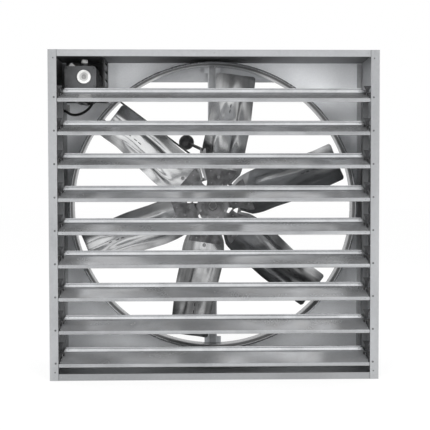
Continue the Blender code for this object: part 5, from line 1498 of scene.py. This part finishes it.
class FAN_OT_blades(bpy.types.Operator):
    """Presses the fan's blades and root plates and bolts them on"""

    bl_idname = "fan.blades"
    bl_label = "Blades"

    def execute(self, context):
        make_blades(context.scene.fan_blades)
        make_root_plates(context.scene.fan_blades)
        return {"FINISHED"}


class FAN_OT_hub(bpy.types.Operator):
    """Adds the hub's ringed cover and its bolts"""

    bl_idname = "fan.hub"
    bl_label = "Hub cover"

    def execute(self, context):
        make_hub_cover()
        return {"FINISHED"}


class FAN_OT_small_parts(bpy.types.Operator):
    """Adds the seams, edge folds, link clips, hammer, cable and the terminal box's details"""

    bl_idname = "fan.small_parts"
    bl_label = "Small parts"

    def execute(self, context):
        make_corner_seam_shades()
        make_edge_folds()
        make_link_clips()
        make_hammer()
        make_cable()
        make_cap()
        make_gland()
        make_lid_details()
        return {"FINISHED"}


class FAN_OT_fittings(bpy.types.Operator):
    """Finishes the pieces that keep their CAD shape"""

    bl_idname = "fan.fittings"
    bl_label = "Fittings"

    def execute(self, context):
        finish_fittings()
        return {"FINISHED"}


class FAN_OT_stage(bpy.types.Operator):
    """Sets the floor, the light and the camera"""

    bl_idname = "fan.stage"
    bl_label = "Stage"

    def execute(self, context):
        make_floor()
        make_world()
        make_lamps()
        make_camera()
        return {"FINISHED"}


OPERATORS = (
    FAN_OT_stage,
    FAN_OT_fittings,
    FAN_OT_casing,
    FAN_OT_collar,
    FAN_OT_shutters,
    FAN_OT_blades,
    FAN_OT_hub,
    FAN_OT_small_parts,
)


class FAN_PT_panel(bpy.types.Panel):
    """Lists the steps and the sizes"""

    bl_idname = "FAN_PT_panel"
    bl_label = "Exhaust fan"
    bl_space_type = "VIEW_3D"
    bl_region_type = "UI"
    bl_category = "Exhaust fan"

    def draw(self, context):
        for step in OPERATORS:
            self.layout.operator(step.bl_idname)
        for name, group in PROPERTY_GROUPS.items():
            box = self.layout.box()
            for field in group.__annotations__:
                box.prop(getattr(context.scene, name), field)


CLASSES = (*PROPERTY_GROUPS.values(), *OPERATORS, FAN_PT_panel)


def register():
    """Registers the classes and the sizes."""
    for kind in CLASSES:
        bpy.utils.register_class(kind)
    for name, group in PROPERTY_GROUPS.items():
        setattr(bpy.types.Scene, name, PointerProperty(type=group))


def unregister():
    """Takes out what register put in."""
    for name in PROPERTY_GROUPS:
        delattr(bpy.types.Scene, name)
    for kind in reversed(CLASSES):
        bpy.utils.unregister_class(kind)


def main():
    """Runs every step."""
    register()
    bpy.ops.fan.stage()
    bpy.ops.fan.fittings()
    bpy.ops.fan.casing()
    bpy.ops.fan.collar()
    bpy.ops.fan.shutters()
    bpy.ops.fan.blades()
    bpy.ops.fan.hub()
    bpy.ops.fan.small_parts()


if __name__ == "__main__":
    main()
